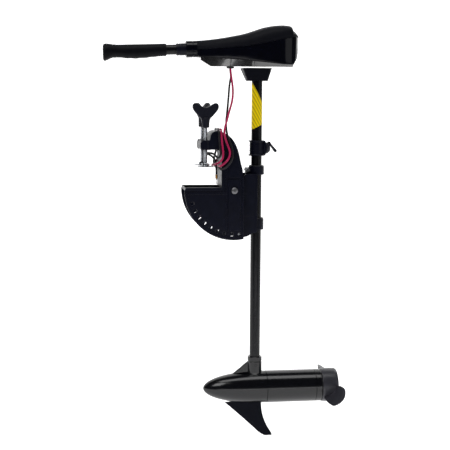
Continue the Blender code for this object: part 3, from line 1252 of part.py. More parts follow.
def rotor(magnet_low, plate_x, front):
    """What spins: armature, commutator, shaft, drive pin, propeller, washer and nut."""
    axis = joint("propeller_axis", on_axis(HUB_END_X))
    origin = on_axis(HUB_END_X)
    core_low = magnet_low + 4 * MM
    made = [
        put("motor_shaft", rod(on_axis(front), on_axis(HUB_END_X - 4 * MM), ROTOR_SHAFT_RADIUS, sides=20),
            BRIGHT_STEEL, origin)
    ]
    teeth = 8
    outline = []
    for k in range(teeth):
        for offset, radius in ((-17, 1.0), (0, 1.0), (17, 1.0), (20, 0.72), (25, 0.72)):
            angle = math.radians(360 / teeth * k + offset)
            outline.append((ROTOR_RADIUS * radius * math.cos(angle), ROTOR_RADIUS * radius * math.sin(angle)))
    turn = Matrix.Translation(on_axis(core_low + ROTOR_LENGTH / 2)) @ Matrix.Rotation(math.radians(90), 4, "Y")
    bore = circle((0, 0), ROTOR_SHAFT_RADIUS + GAP, 20)
    core = slab(outline, -ROTOR_LENGTH / 2, ROTOR_LENGTH / 2, turn, [bore])
    made.append(put("armature", core, IRON, origin))
    segment_low = plate_x - 12 * MM
    commutator = pod_turned([
        (ROTOR_SHAFT_RADIUS + GAP, segment_low), (COMMUTATOR_RADIUS, segment_low),
        (COMMUTATOR_RADIUS, segment_low + 16 * MM), (ROTOR_SHAFT_RADIUS + GAP, segment_low + 16 * MM),
    ], 24)
    made.append(put("commutator", commutator, COPPER, origin))

    hub_low = JOINT_THREE_X + 0.8 * MM
    pin_x = hub_low + 12 * MM
    hub = [
        (ROTOR_SHAFT_RADIUS + GAP, hub_low + 8 * MM),
        (MOTOR_RADIUS - 6 * MM, hub_low + 8 * MM),
        (MOTOR_RADIUS - 3 * MM, hub_low),
        (MOTOR_RADIUS + 0.5 * MM, hub_low),
        (MOTOR_RADIUS + 1.7 * MM, hub_low + 10 * MM),
        (MOTOR_RADIUS + 1.2 * MM, HUB_END_X - 4 * MM),
        (MOTOR_RADIUS - 3 * MM, HUB_END_X),
        (16 * MM, HUB_END_X),
        (16 * MM, HUB_END_X - 16 * MM),
        (ROTOR_SHAFT_RADIUS + GAP, HUB_END_X - 16 * MM),
    ]
    propeller = put("propeller", pod_turned(hub), BLACK_PLASTIC, origin)
    for side in (-1, 1):
        join(propeller, blade(side, hub_low))
    cut(propeller, rod(on_axis(pin_x, -13 * MM), on_axis(pin_x, 13 * MM), PIN_RADIUS + GAP, sides=12))
    made.append(propeller)
    made.append(put("drive_pin", rod(on_axis(pin_x, -12 * MM), on_axis(pin_x, 12 * MM), PIN_RADIUS, sides=12),
                    BRIGHT_STEEL, origin))
    cut(made[0], rod(on_axis(pin_x, -20 * MM), on_axis(pin_x, 20 * MM), PIN_RADIUS + GAP, sides=12))
    washer_low = HUB_END_X - 16 * MM + GAP
    shaft_bore = ROTOR_SHAFT_RADIUS + GAP
    made.append(put("propeller_washer", tube(on_axis(washer_low), on_axis(washer_low + 1.6 * MM), 11 * MM, shaft_bore, 24),
                    BRIGHT_STEEL, origin))
    nut_low = washer_low + 1.6 * MM + GAP
    made.append(hex_nut("propeller_nut", on_axis(nut_low), (1, 0, 0), 8 * MM, 9.5 * MM, shaft_bore))
    attach(axis, *made)
    return axis


# Each section of the near blade, in millimetres: distance from the axis, its two ends (behind the hub's front
# edge, above the axis), how far it bows between them, and half its thickness
BLADE_SECTIONS = [
    (34, (4, -27), (37, 4), 5, 2.2),
    (52, (6, -31), (41, 9), 8, 2.0),
    (82, (11, -34), (44, 14), 11, 1.7),
    (100, (15, -33), (45, 14), 10, 1.5),
    (PROP_RADIUS / MM, (23, -26), (45, 7), 7, 1.1),
]


def blade(side, hub_low):
    """One scoop blade: curved sections that stand across the hub and lean back towards the tip."""
    steps, rings = 6, []
    for reach, front, back, bow, half in BLADE_SECTIONS:
        chord = (Vector(back) - Vector(front)).normalized()
        outwards = Vector((chord.y, -chord.x))
        middle = [
            Vector(front).lerp(Vector(back), i / steps) + outwards * 4 * bow * i / steps * (1 - i / steps)
            for i in range(steps + 1)
        ]
        ring = [p + outwards * half for p in middle] + [p - outwards * half for p in reversed(middle)]
        rings.append([on_axis(hub_low + p.x * MM, side * reach * MM, -side * p.y * MM) for p in ring])
    return loft(rings)


# ---------------------------------------------------------------- battery leads


RED_ROUTE = [
    (66, -33.5, 321), (66, -33.5, 308), (69.6, -37, 280), (71.7, -42, 255), (69, -47, 228), (61.6, -52.5, 204),
    (53.5, -57.5, 176), (47, -58, 150), (51, -55, 128), (58, -54, 110), (63.5, -54.5, 94), (61, -55.5, 79),
    (52, -56, 68), (44, -56, 61), (39.6, -52.5, 57.5), (38.2, -46, 56), (38.2, -30, 55.5), (38.2, 0, 55.5),
    (38.2, 30, 56), (38.2, 46, 57.5), (40, 53, 62), (44.5, 56, 73), (48, 55.5, 90), (50, 55, 110), (48.5, 56, 134),
    (45.5, 54.5, 146), (43.5, 50, 152), (42.5, 42, 153.8), (42, 20, 153), (41.5, 0, 152.8), (41, -20, 153),
    (40.5, -42, 154), (40, -50.5, 152), (39.8, -55, 145), (40.5, -55.2, 135), (41.8, -54, 120), (44, -54, 103),
    (45.5, -54.5, 88), (43, -55.5, 76), (37, -50, 67.5), (30, -38, 63), (26.5, -26, 60), (22, -17, 58.4),
    (21.3, -12, 58), (23, -7.5, 58),
]
BLACK_ROUTE = [
    (66, -26.5, 321), (66, -26.5, 308), (67.8, -29, 293), (63, -35, 268), (60, -40, 236), (56.5, -45.5, 204),
    (53, -50.5, 178), (53.5, -51.6, 152), (58.5, -52, 132), (66, -52.5, 113), (70.5, -54, 94), (68, -55.5, 73),
    (59, -56.5, 59.5), (48, -57, 50.5), (40.2, -53, 48), (38.2, -46, 48), (38.2, -30, 48), (38.2, 0, 47.5),
    (38.2, 30, 48), (37.8, 46, 49), (36, 52, 51.5), (33.8, 56.2, 59), (34.5, 57, 70), (38, 56.5, 85),
    (41.5, 56, 100), (43, 56, 118),
    (41.5, 56.5, 134), (38.5, 55, 145.5), (37, 50, 152), (36.3, 42, 153.9), (35.6, 20, 153.3), (35.2, 0, 153.2),
    (34.6, -20, 153.3), (34.2, -42, 154), (33.8, -50.5, 152), (33.4, -55, 145), (34, -55.2, 135), (35.2, -53.8, 120),
    (37.2, -53.5, 103), (38.8, -54.5, 90), (36.5, -54, 80), (31, -47.5, 78), (28, -37, 82.5), (22, -20, 89),
    (10, -11, 90), (0, 0, 88.5), (9, 10.5, 86.5), (19, 11, 83.5), (27, 7, 76), (31, -4, 69),
    (31.8, -13, 57), (32, -18, 44), (32, -18.5, 32.5),
]
SLEEVE_LENGTH = 11 * MM
SLEEVE_RADIUS = 3.4 * MM
FORK_LENGTH = 14 * MM
FORK_HALF_WIDTH = 4.2 * MM
FORK_THICKNESS = 0.9 * MM


def battery_leads():
    """The two battery leads, wound round the arm for storage, each ending in an insulated fork terminal."""
    for name, route, finish in (("red", RED_ROUTE, RED_PVC), ("black", BLACK_ROUTE, BLACK_PVC)):
        path = smooth_path(route, 5 * LEAD_RADIUS)
        put(f"battery_lead_{name}", wire(path, LEAD_RADIUS), finish)
        end, way = path[-1], (path[-1] - path[-2]).normalized()
        start = end + way * GAP
        sleeve_end = start + way * SLEEVE_LENGTH
        blind = start + way * (SLEEVE_LENGTH - 5 * MM)
        sleeve = rod(start, sleeve_end, SLEEVE_RADIUS, SLEEVE_RADIUS * 0.85, 16)
        sleeve = put(f"terminal_sleeve_{name}", sleeve, YELLOW_SLEEVE)
        cut(sleeve, rod(blind, sleeve_end + way * 2 * MM, 1.8 * MM, sides=12))
        fork(f"terminal_fork_{name}", blind + way * GAP, sleeve_end, way)


def fork(name, tail, root, way):
    """A flat fork tongue with a round tail that sits in the sleeve."""
    across = Vector((0, 1, 0))
    across = (across - way * across.dot(way)).normalized()
    normal = way.cross(across)
    turn = Matrix((across, way, normal)).transposed().to_4x4()
    turn.translation = root
    slot_half = 1.9 * MM
    half = FORK_HALF_WIDTH
    outline = [
        (-half * 0.45, 0.6 * MM), (half * 0.45, 0.6 * MM), (half, 5 * MM), (half, FORK_LENGTH),
        (slot_half + 0.3 * MM, FORK_LENGTH), (slot_half, 7.5 * MM), (-slot_half, 7.5 * MM),
        (-slot_half - 0.3 * MM, FORK_LENGTH), (-half, FORK_LENGTH), (-half, 5 * MM),
    ]
    made = put(name, slab(outline, -FORK_THICKNESS / 2, FORK_THICKNESS / 2, turn), BRIGHT_STEEL)
    join(made, rod(tail, root + way * 2.5 * MM, 1.4 * MM, sides=12))


# ---------------------------------------------------------------- assembly


clear_scene()
PARTS = new_collection("trolling_motor")
CUTTERS = new_collection("cutters")

clamp_body()
clamp_screw(-1, "near", 0)
clamp_screw(1, "far", FAR_KNOB_TURN_DEG)
pivot()
tilt_base = swivel()
steer_base = bushes()
collar_base = depth_collar()

depth_base = joint("depth_slide", (SHAFT_X, 0, POD_COLLAR_TOP_Z))
shaft_low, shaft_high = POD_COLLAR_TOP_Z - 34 * MM, BRACKET_BOTTOM_Z + BRACKET_HEIGHT - 2 * MM
shaft = put(
    "shaft_tube",
    tube((SHAFT_X, 0, shaft_low), (SHAFT_X, 0, shaft_high), SHAFT_RADIUS, SHAFT_RADIUS - SHAFT_WALL, 40),
    BLACK_TUBE,
)
*housing, pod_cavity, pod_inner = motor_housing()
works, works_low, works_high, brush_x, front_x = motor_works(pod_cavity, pod_inner)
attach(depth_base, shaft, *head(), *handle(), *housing, *works, rotor(works_low, brush_x, front_x), collar_base)
attach(steer_base, depth_base)
attach(tilt_base, steer_base)
battery_leads()
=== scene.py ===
"""Looks of the trolling motor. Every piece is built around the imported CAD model, in its frame.

Shapes are drawn in millimetres and scaled when they become a piece.
"""

import json
import math

import bmesh
import bpy
from mathutils import Matrix, Vector


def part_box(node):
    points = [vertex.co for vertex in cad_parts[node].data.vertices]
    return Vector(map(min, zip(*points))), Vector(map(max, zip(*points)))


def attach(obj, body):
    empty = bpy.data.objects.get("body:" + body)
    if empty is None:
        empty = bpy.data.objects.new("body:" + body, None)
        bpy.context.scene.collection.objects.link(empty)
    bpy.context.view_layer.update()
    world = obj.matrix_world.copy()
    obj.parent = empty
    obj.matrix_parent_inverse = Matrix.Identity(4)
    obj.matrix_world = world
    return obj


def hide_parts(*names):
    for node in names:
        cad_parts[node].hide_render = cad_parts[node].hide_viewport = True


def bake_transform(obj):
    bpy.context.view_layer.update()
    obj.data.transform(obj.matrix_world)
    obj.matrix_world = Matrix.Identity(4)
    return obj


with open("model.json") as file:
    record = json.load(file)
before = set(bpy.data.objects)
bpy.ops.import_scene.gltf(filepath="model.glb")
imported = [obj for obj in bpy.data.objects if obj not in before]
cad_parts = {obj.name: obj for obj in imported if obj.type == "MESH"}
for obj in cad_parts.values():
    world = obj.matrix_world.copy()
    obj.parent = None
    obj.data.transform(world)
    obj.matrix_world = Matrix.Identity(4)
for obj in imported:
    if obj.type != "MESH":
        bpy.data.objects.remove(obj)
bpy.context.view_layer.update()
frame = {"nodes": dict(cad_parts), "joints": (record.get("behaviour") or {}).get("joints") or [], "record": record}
RECORD = frame["record"]
BODY_OF = {node: body for body, nodes in RECORD["behaviour"]["bodies"].items() for node in nodes}
SLOT_OF = {part["node"]: part["material_slot"] for part in RECORD["subparts"]}
MM = 0.001
UPRIGHT = Matrix(((1, 0, 0, 0), (0, 0, -1, 0), (0, 1, 0, 0), (0, 0, 0, 1)))


def low_of(node, axis):
    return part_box(node)[0][axis] / MM


def high_of(node, axis):
    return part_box(node)[1][axis] / MM


def middle_of(node, axis):
    return (high_of(node, axis) + low_of(node, axis)) / 2


# Places read from the frame, in millimetres
SHAFT_X = middle_of("shaft_tube", 0)
SHAFT_RADIUS = high_of("shaft_tube", 0) - SHAFT_X
PIVOT_X = middle_of("pivot_nut", 0)
PIVOT_Z = middle_of("pivot_nut", 2)
MOTOR_Z = middle_of("motor_tube", 2)
MOTOR_RADIUS = high_of("motor_tube", 2) - MOTOR_Z
SEAT_HALF_WIDTH = high_of("clamp_body", 1)

# Sizes that the boxes don't show, in millimetres
ARM_HALF_WIDTH = 47.0
CHEEK_INSIDE = 42.0
SCREW_Y = 37.0
QUADRANT_RADIUS = 133.0
SLOT_CIRCLE = 117.5  # radius on which the tilt-lock slots lie
BACK_EDGE_X = 102.4  # straight rear edge of the cheeks
PIVOT_HOLE = 5.3
LOCK_HOLE = 3.7
NOSE_LENGTH = 155.0
GRIP_LENGTH = 166.0
BLADE_REACH = 112.0  # propeller axis to a blade's tip
HUB_REAR_X = 373.0
LEAD_RADIUS = 2.7
LEAD_SPACING = 3.2  # between the points of a lead's smoothed path
LEAD_HEIGHTS = (322, 278, 228, 157)  # where a lead hands over from one body to the next
BUMP_DEPTH = 0.05  # of the surface grain


# ---------------------------------------------------------------- materials


def shader_of(name):
    made = bpy.data.materials.new(name)
    made.use_nodes = True
    return made, made.node_tree.nodes, made.node_tree.links, made.node_tree.nodes["Principled BSDF"]


def noise(nodes, links, scale, detail=3.0, stretch=(1, 1, 1)):
    """Noise in the piece's own coordinates, so that it stays put when the piece moves."""
    coords = nodes.new("ShaderNodeTexCoord")
    mapping = nodes.new("ShaderNodeMapping")
    mapping.inputs["Scale"].default_value = stretch
    texture = nodes.new("ShaderNodeTexNoise")
    texture.inputs["Scale"].default_value = scale
    texture.inputs["Detail"].default_value = detail
    links.new(coords.outputs["Object"], mapping.inputs["Vector"])
    links.new(mapping.outputs["Vector"], texture.inputs["Vector"])
    return texture.outputs["Fac"]


def spread(nodes, links, source, low, high):
    """The noise's middle range stretched from one value to another."""
    ranged = nodes.new("ShaderNodeMapRange")
    ranged.inputs["From Min"].default_value = 0.3
    ranged.inputs["From Max"].default_value = 0.7
    ranged.inputs["To Min"].default_value = low
    ranged.inputs["To Max"].default_value = high
    links.new(source, ranged.inputs["Value"])
    return ranged.outputs["Result"]


def two_colours(nodes, links, amount, one, other):
    mix = nodes.new("ShaderNodeMix")
    mix.data_type = "RGBA"
    mix.inputs["A"].default_value = (*one, 1)
    mix.inputs["B"].default_value = (*other, 1)
    links.new(amount, mix.inputs["Factor"])
    return mix.outputs["Result"]


def finish(name, colour, roughness, metallic=0.0, grain=0.1, grain_size=0.8, specular=0.5, coat=0.0,
           worn=1.35, stretch=(1, 1, 1)):
    """A moulded, painted or metal surface with fine grain, patches of different gloss and a worn tint."""
    made, nodes, links, shader = shader_of(name)
    patches = noise(nodes, links, 55, 5, stretch)
    tint = tuple(min(channel * worn, 1) for channel in colour)
    links.new(
        two_colours(nodes, links, spread(nodes, links, patches, 0, 1), colour, tint),
        shader.inputs["Base Color"],
    )
    smudges = noise(nodes, links, 140, 4, stretch)
    links.new(spread(nodes, links, smudges, roughness * 0.8, roughness * 1.2), shader.inputs["Roughness"])
    bump = nodes.new("ShaderNodeBump")
    bump.inputs["Strength"].default_value = grain
    bump.inputs["Distance"].default_value = BUMP_DEPTH * MM
    links.new(noise(nodes, links, 1 / (grain_size * MM), 2, stretch), bump.inputs["Height"])
    links.new(bump.outputs["Normal"], shader.inputs["Normal"])
    shader.inputs["Metallic"].default_value = metallic
    shader.inputs["Specular IOR Level"].default_value = specular
    shader.inputs["Coat Weight"].default_value = coat
    shader.inputs["Coat Roughness"].default_value = 0.06
    return made


def label_finish():
    """Yellow film with fine slanted lines of a darker yellow."""
    made, nodes, links, shader = shader_of("label_film")
    coords = nodes.new("ShaderNodeTexCoord")
    mapping = nodes.new("ShaderNodeMapping")
    mapping.inputs["Rotation"].default_value = (0, math.radians(-62), 0)
    wave = nodes.new("ShaderNodeTexWave")
    wave.bands_direction = "Z"
    wave.inputs["Scale"].default_value = 46
    wave.inputs["Distortion"].default_value = 0.3
    links.new(coords.outputs["Object"], mapping.inputs["Vector"])
    links.new(mapping.outputs["Vector"], wave.inputs["Vector"])
    ranged = nodes.new("ShaderNodeMapRange")
    ranged.inputs["From Min"].default_value = 0.55
    ranged.inputs["From Max"].default_value = 0.8
    links.new(wave.outputs["Fac"], ranged.inputs["Value"])
    mixed = two_colours(nodes, links, ranged.outputs["Result"], (0.98, 0.74, 0.002), (0.6, 0.44, 0.004))
    links.new(mixed, shader.inputs["Base Color"])
    shader.inputs["Specular IOR Level"].default_value = 0.2
    links.new(spread(nodes, links, noise(nodes, links, 200), 0.28, 0.4), shader.inputs["Roughness"])
    return made


CASTING = finish(
    "moulded_nylon", (0.0022, 0.0028, 0.0082), 0.36, grain=0.3, grain_size=0.7, specular=0.16, worn=1.5,
)
SATIN = finish(
    "satin_nylon", (0.0012, 0.0016, 0.0046), 0.42, grain=0.2, grain_size=0.7, specular=0.06, worn=1.4,
)
COVER = finish(
    "matt_cover", (0.0044, 0.0047, 0.0072), 0.5, grain=0.3, grain_size=0.5, specular=0.07, worn=1.3,
)
GLOSS = finish(
    "gloss_body", (0.0008, 0.001, 0.003), 0.13, grain=0.03, grain_size=3.5, specular=0.22, worn=1.6,
)
PAN = finish(
    "gloss_pan", (0.003, 0.003, 0.004), 0.16, grain=0.03, grain_size=3.5, specular=0.8, coat=1.0, worn=1.6,
)
PAINT = finish(
    "motor_enamel", (0.0015, 0.0016, 0.0028), 0.17, grain=0.06, grain_size=2.2, specular=0.4, coat=0.1,
    worn=1.5,
)
TUBE = finish(
    "shaft_coating", (0.0018, 0.002, 0.0032), 0.25, grain=0.1, grain_size=1.0, specular=0.26, worn=1.5,
    stretch=(1, 1, 0.15),
)
KNOB = finish(
    "knob_plastic", (0.0062, 0.0068, 0.0125), 0.42, grain=0.4, grain_size=0.6, specular=0.2, worn=1.4,
)
GRIP = finish(
    "soft_grip", (0.0016, 0.0018, 0.0034), 0.5, grain=0.5, grain_size=0.45, specular=0.09, worn=1.35,
)
BLADE = finish(
    "propeller_nylon", (0.026, 0.026, 0.033), 0.34, grain=0.2, grain_size=1.0, specular=0.35, worn=1.3,
)
STEEL = finish(
    "zinc_plated_steel", (0.25, 0.26, 0.28), 0.24, metallic=1.0, grain=0.2, grain_size=0.5, worn=1.25,
)
DULL_STEEL = finish(
    "passivated_steel", (0.16, 0.16, 0.17), 0.4, metallic=1.0, grain=0.2, grain_size=0.5, worn=1.3,
)
NYLON = finish("nylon_bush", (0.012, 0.012, 0.014), 0.45, grain=0.2, grain_size=0.6, specular=0.35)
RUBBER = finish("grommet_rubber", (0.006, 0.006, 0.0065), 0.65, grain=0.4, grain_size=0.4, specular=0.25)
BRASS = finish("machined_brass", (0.62, 0.42, 0.16), 0.28, metallic=1.0, grain=0.2, grain_size=0.5)
COPPER = finish("commutator_copper", (0.66, 0.30, 0.16), 0.3, metallic=1.0, grain=0.2, grain_size=0.5)
IRON = finish("armature_laminations", (0.22, 0.22, 0.23), 0.45, metallic=0.9, grain=0.7, grain_size=0.5,
              stretch=(9, 0.2, 0.2))
FERRITE = finish("ferrite", (0.045, 0.045, 0.05), 0.7, grain=0.5, grain_size=0.6)
RED_LEAD = finish(
    "red_insulation", (0.40, 0.010, 0.075), 0.36, grain=0.12, grain_size=0.8, specular=0.35, worn=1.2,
)
BLACK_LEAD = finish(
    "black_insulation", (0.006, 0.005, 0.007), 0.38, grain=0.12, grain_size=0.8, specular=0.35,
)
SLEEVE = finish("terminal_vinyl", (0.66, 0.31, 0.06), 0.4, grain=0.2, grain_size=0.6, worn=1.2)
LABEL = label_finish()
# Finish of each material slot, for the CAD nodes that no piece stands for
CARRIED = {
    "black_plastic": CASTING, "gloss_black": GLOSS, "matte_black": KNOB, "black_paint": PAINT,
    "black_tube": TUBE,
    "bright_steel": STEEL, "nylon": NYLON, "rubber": RUBBER, "copper": COPPER, "laminated_iron": IRON,
    "ferrite": FERRITE, "brass": BRASS, "red_pvc": RED_LEAD, "black_pvc": BLACK_LEAD, "yellow_sleeve": SLEEVE,
}


# ---------------------------------------------------------------- shapes


def to_mesh(bm):
    bmesh.ops.recalc_face_normals(bm, faces=bm.faces)
    made = bpy.data.meshes.new("shape")
    bm.to_mesh(made)
    bm.free()
    return made


def turn_to(base, axis):
    """Takes +Z at the origin to an axis through a base point."""
    return Matrix.Translation(base) @ Vector(axis).to_track_quat("Z", "X").to_matrix().to_4x4()


def turned(profile, base=(0, 0, 0), axis=(0, 0, 1), sides=64, wave=None):
    """A profile of (radius, height) points turned about an axis; wave changes the radius with the angle."""
    bm = bmesh.new()
    rings = []
    for radius, height in profile:
        if radius <= 0:
            rings.append([bm.verts.new((0, 0, height))])
            continue
        ring = []
        for i in range(sides):
            angle = 2 * math.pi * i / sides
            size = radius + (wave(angle, radius) if wave else 0)
            ring.append(bm.verts.new((size * math.cos(angle), size * math.sin(angle), height)))
        rings.append(ring)
    pairs = list(zip(rings, rings[1:]))
    if profile[0][0] > 0:
        pairs.append((rings[-1], rings[0]))
    for one, other in pairs:
        for i in range(sides):
            j = (i + 1) % sides
            corners = [one[i % len(one)], one[j % len(one)], other[j % len(other)], other[i % len(other)]]
            corners = list(dict.fromkeys(corners))
            if len(corners) > 2:
                bm.faces.new(corners)
    bmesh.ops.transform(bm, matrix=turn_to(base, axis), verts=bm.verts[:])
    return to_mesh(bm)


def ridges(count, depth, beyond):
    """Ridges for turned, all round where the profile is wider than a radius."""

    def wave(angle, radius):
        return depth * math.cos(count * angle) * (radius > beyond)

    return wave


def plate(outline, low, high, holes=(), bevel=0.8):
    """An outline of (X, Z) points with holes, given thickness along Y and bevelled edges."""
    curve = bpy.data.curves.new("plate", "CURVE")
    curve.dimensions = "2D"
    curve.fill_mode = "BOTH"
    curve.extrude = (high - low) / 2 - bevel
    curve.bevel_depth = bevel
    curve.bevel_resolution = 2
    curve.offset = -bevel
    for loop in (outline, *holes):
        line = curve.splines.new("POLY")
        line.points.add(len(loop) - 1)
        line.use_cyclic_u = True
        for point, (x, y) in zip(line.points, loop):
            point.co = (x, y, 0, 1)
    holder = bpy.data.objects.new("plate", curve)
    bpy.context.scene.collection.objects.link(holder)
    bpy.context.view_layer.update()
    made = bpy.data.meshes.new_from_object(holder.evaluated_get(bpy.context.evaluated_depsgraph_get()))
    bpy.data.objects.remove(holder)
    bpy.data.curves.remove(curve)
    bm = bmesh.new()
    bm.from_mesh(made)
    bmesh.ops.remove_doubles(bm, verts=bm.verts[:], dist=0.001)
    bmesh.ops.transform(bm, matrix=UPRIGHT @ Matrix.Translation((0, 0, -(low + high) / 2)), verts=bm.verts[:])
    return to_mesh(bm)


def brick(low, high, bevel=0.8):
    """A bevelled block between two corners."""
    outline = [(low[0], low[2]), (high[0], low[2]), (high[0], high[2]), (low[0], high[2])]
    return plate(outline, low[1], high[1], bevel=bevel)


def rod(start, end, radius, sides=32, ease=0.5):
    length = (Vector(end) - Vector(start)).length
    profile = [
        (0, 0), (radius - ease, 0), (radius, ease), (radius, length - ease), (radius - ease, length),
        (0, length),
    ]
    return turned(profile, start, Vector(end) - Vector(start), sides)


def arc(centre, radius, start_deg, end_deg, count):
    return [
        (
            centre[0] + radius * math.cos(math.radians(start_deg + (end_deg - start_deg) * i / count)),
            centre[1] + radius * math.sin(math.radians(start_deg + (end_deg - start_deg) * i / count)),
        )
        for i in range(count + 1)
    ]


def spline(knots, steps):
    """Points on a smooth curve through the given ones, any number of values in each."""
    count = len(knots[0])
    ends = [
        tuple(2 * knots[0][k] - knots[1][k] for k in range(count)),
        *knots,
        tuple(2 * knots[-1][k] - knots[-2][k] for k in range(count)),
    ]
    made = [tuple(knots[0])]
    for a, b, c, d in zip(ends, ends[1:], ends[2:], ends[3:]):
        for i in range(1, steps + 1):
            t = i / steps
            made.append(
                tuple(
                    b[k]
                    + ((c[k] - a[k]) * t + (2 * a[k] - 5 * b[k] + 4 * c[k] - d[k]) * t**2
                       + (3 * b[k] - a[k] - 3 * c[k] + d[k]) * t**3) / 2
                    for k in range(count)
                )
            )
    return made


def loft(sections):
    """A surface through closed sections that have the same number of points."""
    bm = bmesh.new()
    rings = [[bm.verts.new(p) for p in section] for section in sections]
    for one, other in zip(rings, rings[1:]):
        for i in range(len(one)):
            j = (i + 1) % len(one)
            bm.faces.new((one[i], one[j], other[j], other[i]))
    bm.faces.new(rings[0])
    bm.faces.new(rings[-1])
    return to_mesh(bm)


def sweep(path, radius, sides=14):
    """A round solid along a path."""
    points = [Vector(p) for p in path]
    ways = [(b - a).normalized() for a, b in zip(points, points[1:])]
    ways = [ways[0]] + [(a + b).normalized() for a, b in zip(ways, ways[1:])] + [ways[-1]]
    across = ways[0].orthogonal().normalized()
    rings = []
    for point, way in zip(points, ways):
        across = (across - way * across.dot(way)).normalized()
        up = way.cross(across)
        turns = [2 * math.pi * i / sides for i in range(sides)]
        rings.append([point + across * radius * math.cos(t) + up * radius * math.sin(t) for t in turns])
    return loft(rings)


def solid(name, shapes, material, sharp):
    """One object in metres from millimetre shapes, smooth except at edges sharper than an angle."""
    bm = bmesh.new()
    for shape in shapes:
        bm.from_mesh(shape)
        bpy.data.meshes.remove(shape)
    bmesh.ops.scale(bm, vec=(MM, MM, MM), verts=bm.verts[:])
    made = bpy.data.meshes.new(name)
    bm.to_mesh(made)
    bm.free()
    made.materials.append(material)
    made.polygons.foreach_set("use_smooth", [True] * len(made.polygons))
    made.set_sharp_from_angle(angle=math.radians(sharp))
    placed = bpy.data.objects.new(name, made)
    bpy.context.scene.collection.objects.link(placed)
    return placed


def piece(name, shapes, material, node, sharp=32, stands_in=True):
    """One solid which rides on a CAD node's body and, as a rule, stands for that node."""
    placed = solid(name, shapes, material, sharp)
    weighted = placed.modifiers.new("flat_faces", "WEIGHTED_NORMAL")
    weighted.keep_sharp = True
    weighted.weight = 90
    if stands_in:
        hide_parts(node)
    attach(placed, BODY_OF[node])
    return placed


# ---------------------------------------------------------------- clamp bracket


ARCH_BACK = [
    (-14, 103), (-14, 118), (-9, 124), (8, 124), (11, 126.5), (12.3, 136.5), (16, 143.5), (21, 147.4),
    (26, 149), (33, 149.5), (40, 148.4), (47, 145.4), (55, 141), (63, 135.5), (70, 129), (75.5, 121.5),
    (79, 115.5), (82.5, 107.5), (86.5, 97.5),
]
MOUTH = [(42.5, 0), (42.5, 86), (41.5, 91), (38.5, 95.5), (33.5, 98.6), (28, 100), (-10, 100)]
ARCH_HOLLOW = [
    (84, 96), (76, 108.5), (64, 125), (52, 134), (43, 138.5), (34, 140.5), (26, 135.5), (26, 108),
    (38.5, 106), (46, 100), (48.5, 92), (48.5, -9), (-54, -9), (-54, 0),
]
BACK = [(90.3, 82), (93.5, 66.5), (96.2, 56), (98.5, 47.5), (101, 28), (BACK_EDGE_X, 0)]


def slot_hole(angle_deg):
    """One tilt-lock slot with rounded corners, along its radius."""
    length, width, corner = 10, 8, 1.6
    turn = math.radians(180 + angle_deg)
    along, across = Vector((math.cos(turn), math.sin(turn))), Vector((-math.sin(turn), math.cos(turn)))
    middle = Vector((PIVOT_X, PIVOT_Z)) + along * SLOT_CIRCLE
    made = []
    for sign_a, sign_b, start in ((1, 1, 0), (-1, 1, 90), (-1, -1, 180), (1, -1, 270)):
        for step in (0, 45, 90):
            turn_by = math.radians(start + step)
            a = sign_a * (length / 2 - corner) + corner * math.cos(turn_by)
            b = sign_b * (width / 2 - corner) + corner * math.sin(turn_by)
            made.append(tuple(middle + along * a + across * b))
    return made


def on_side(side, outline, start, end, holes=(), bevel=0.7):
    """A plate between two distances from the middle plane, on one side of it."""
    return plate(outline, *sorted((side * start, side * end)), holes=holes, bevel=bevel)


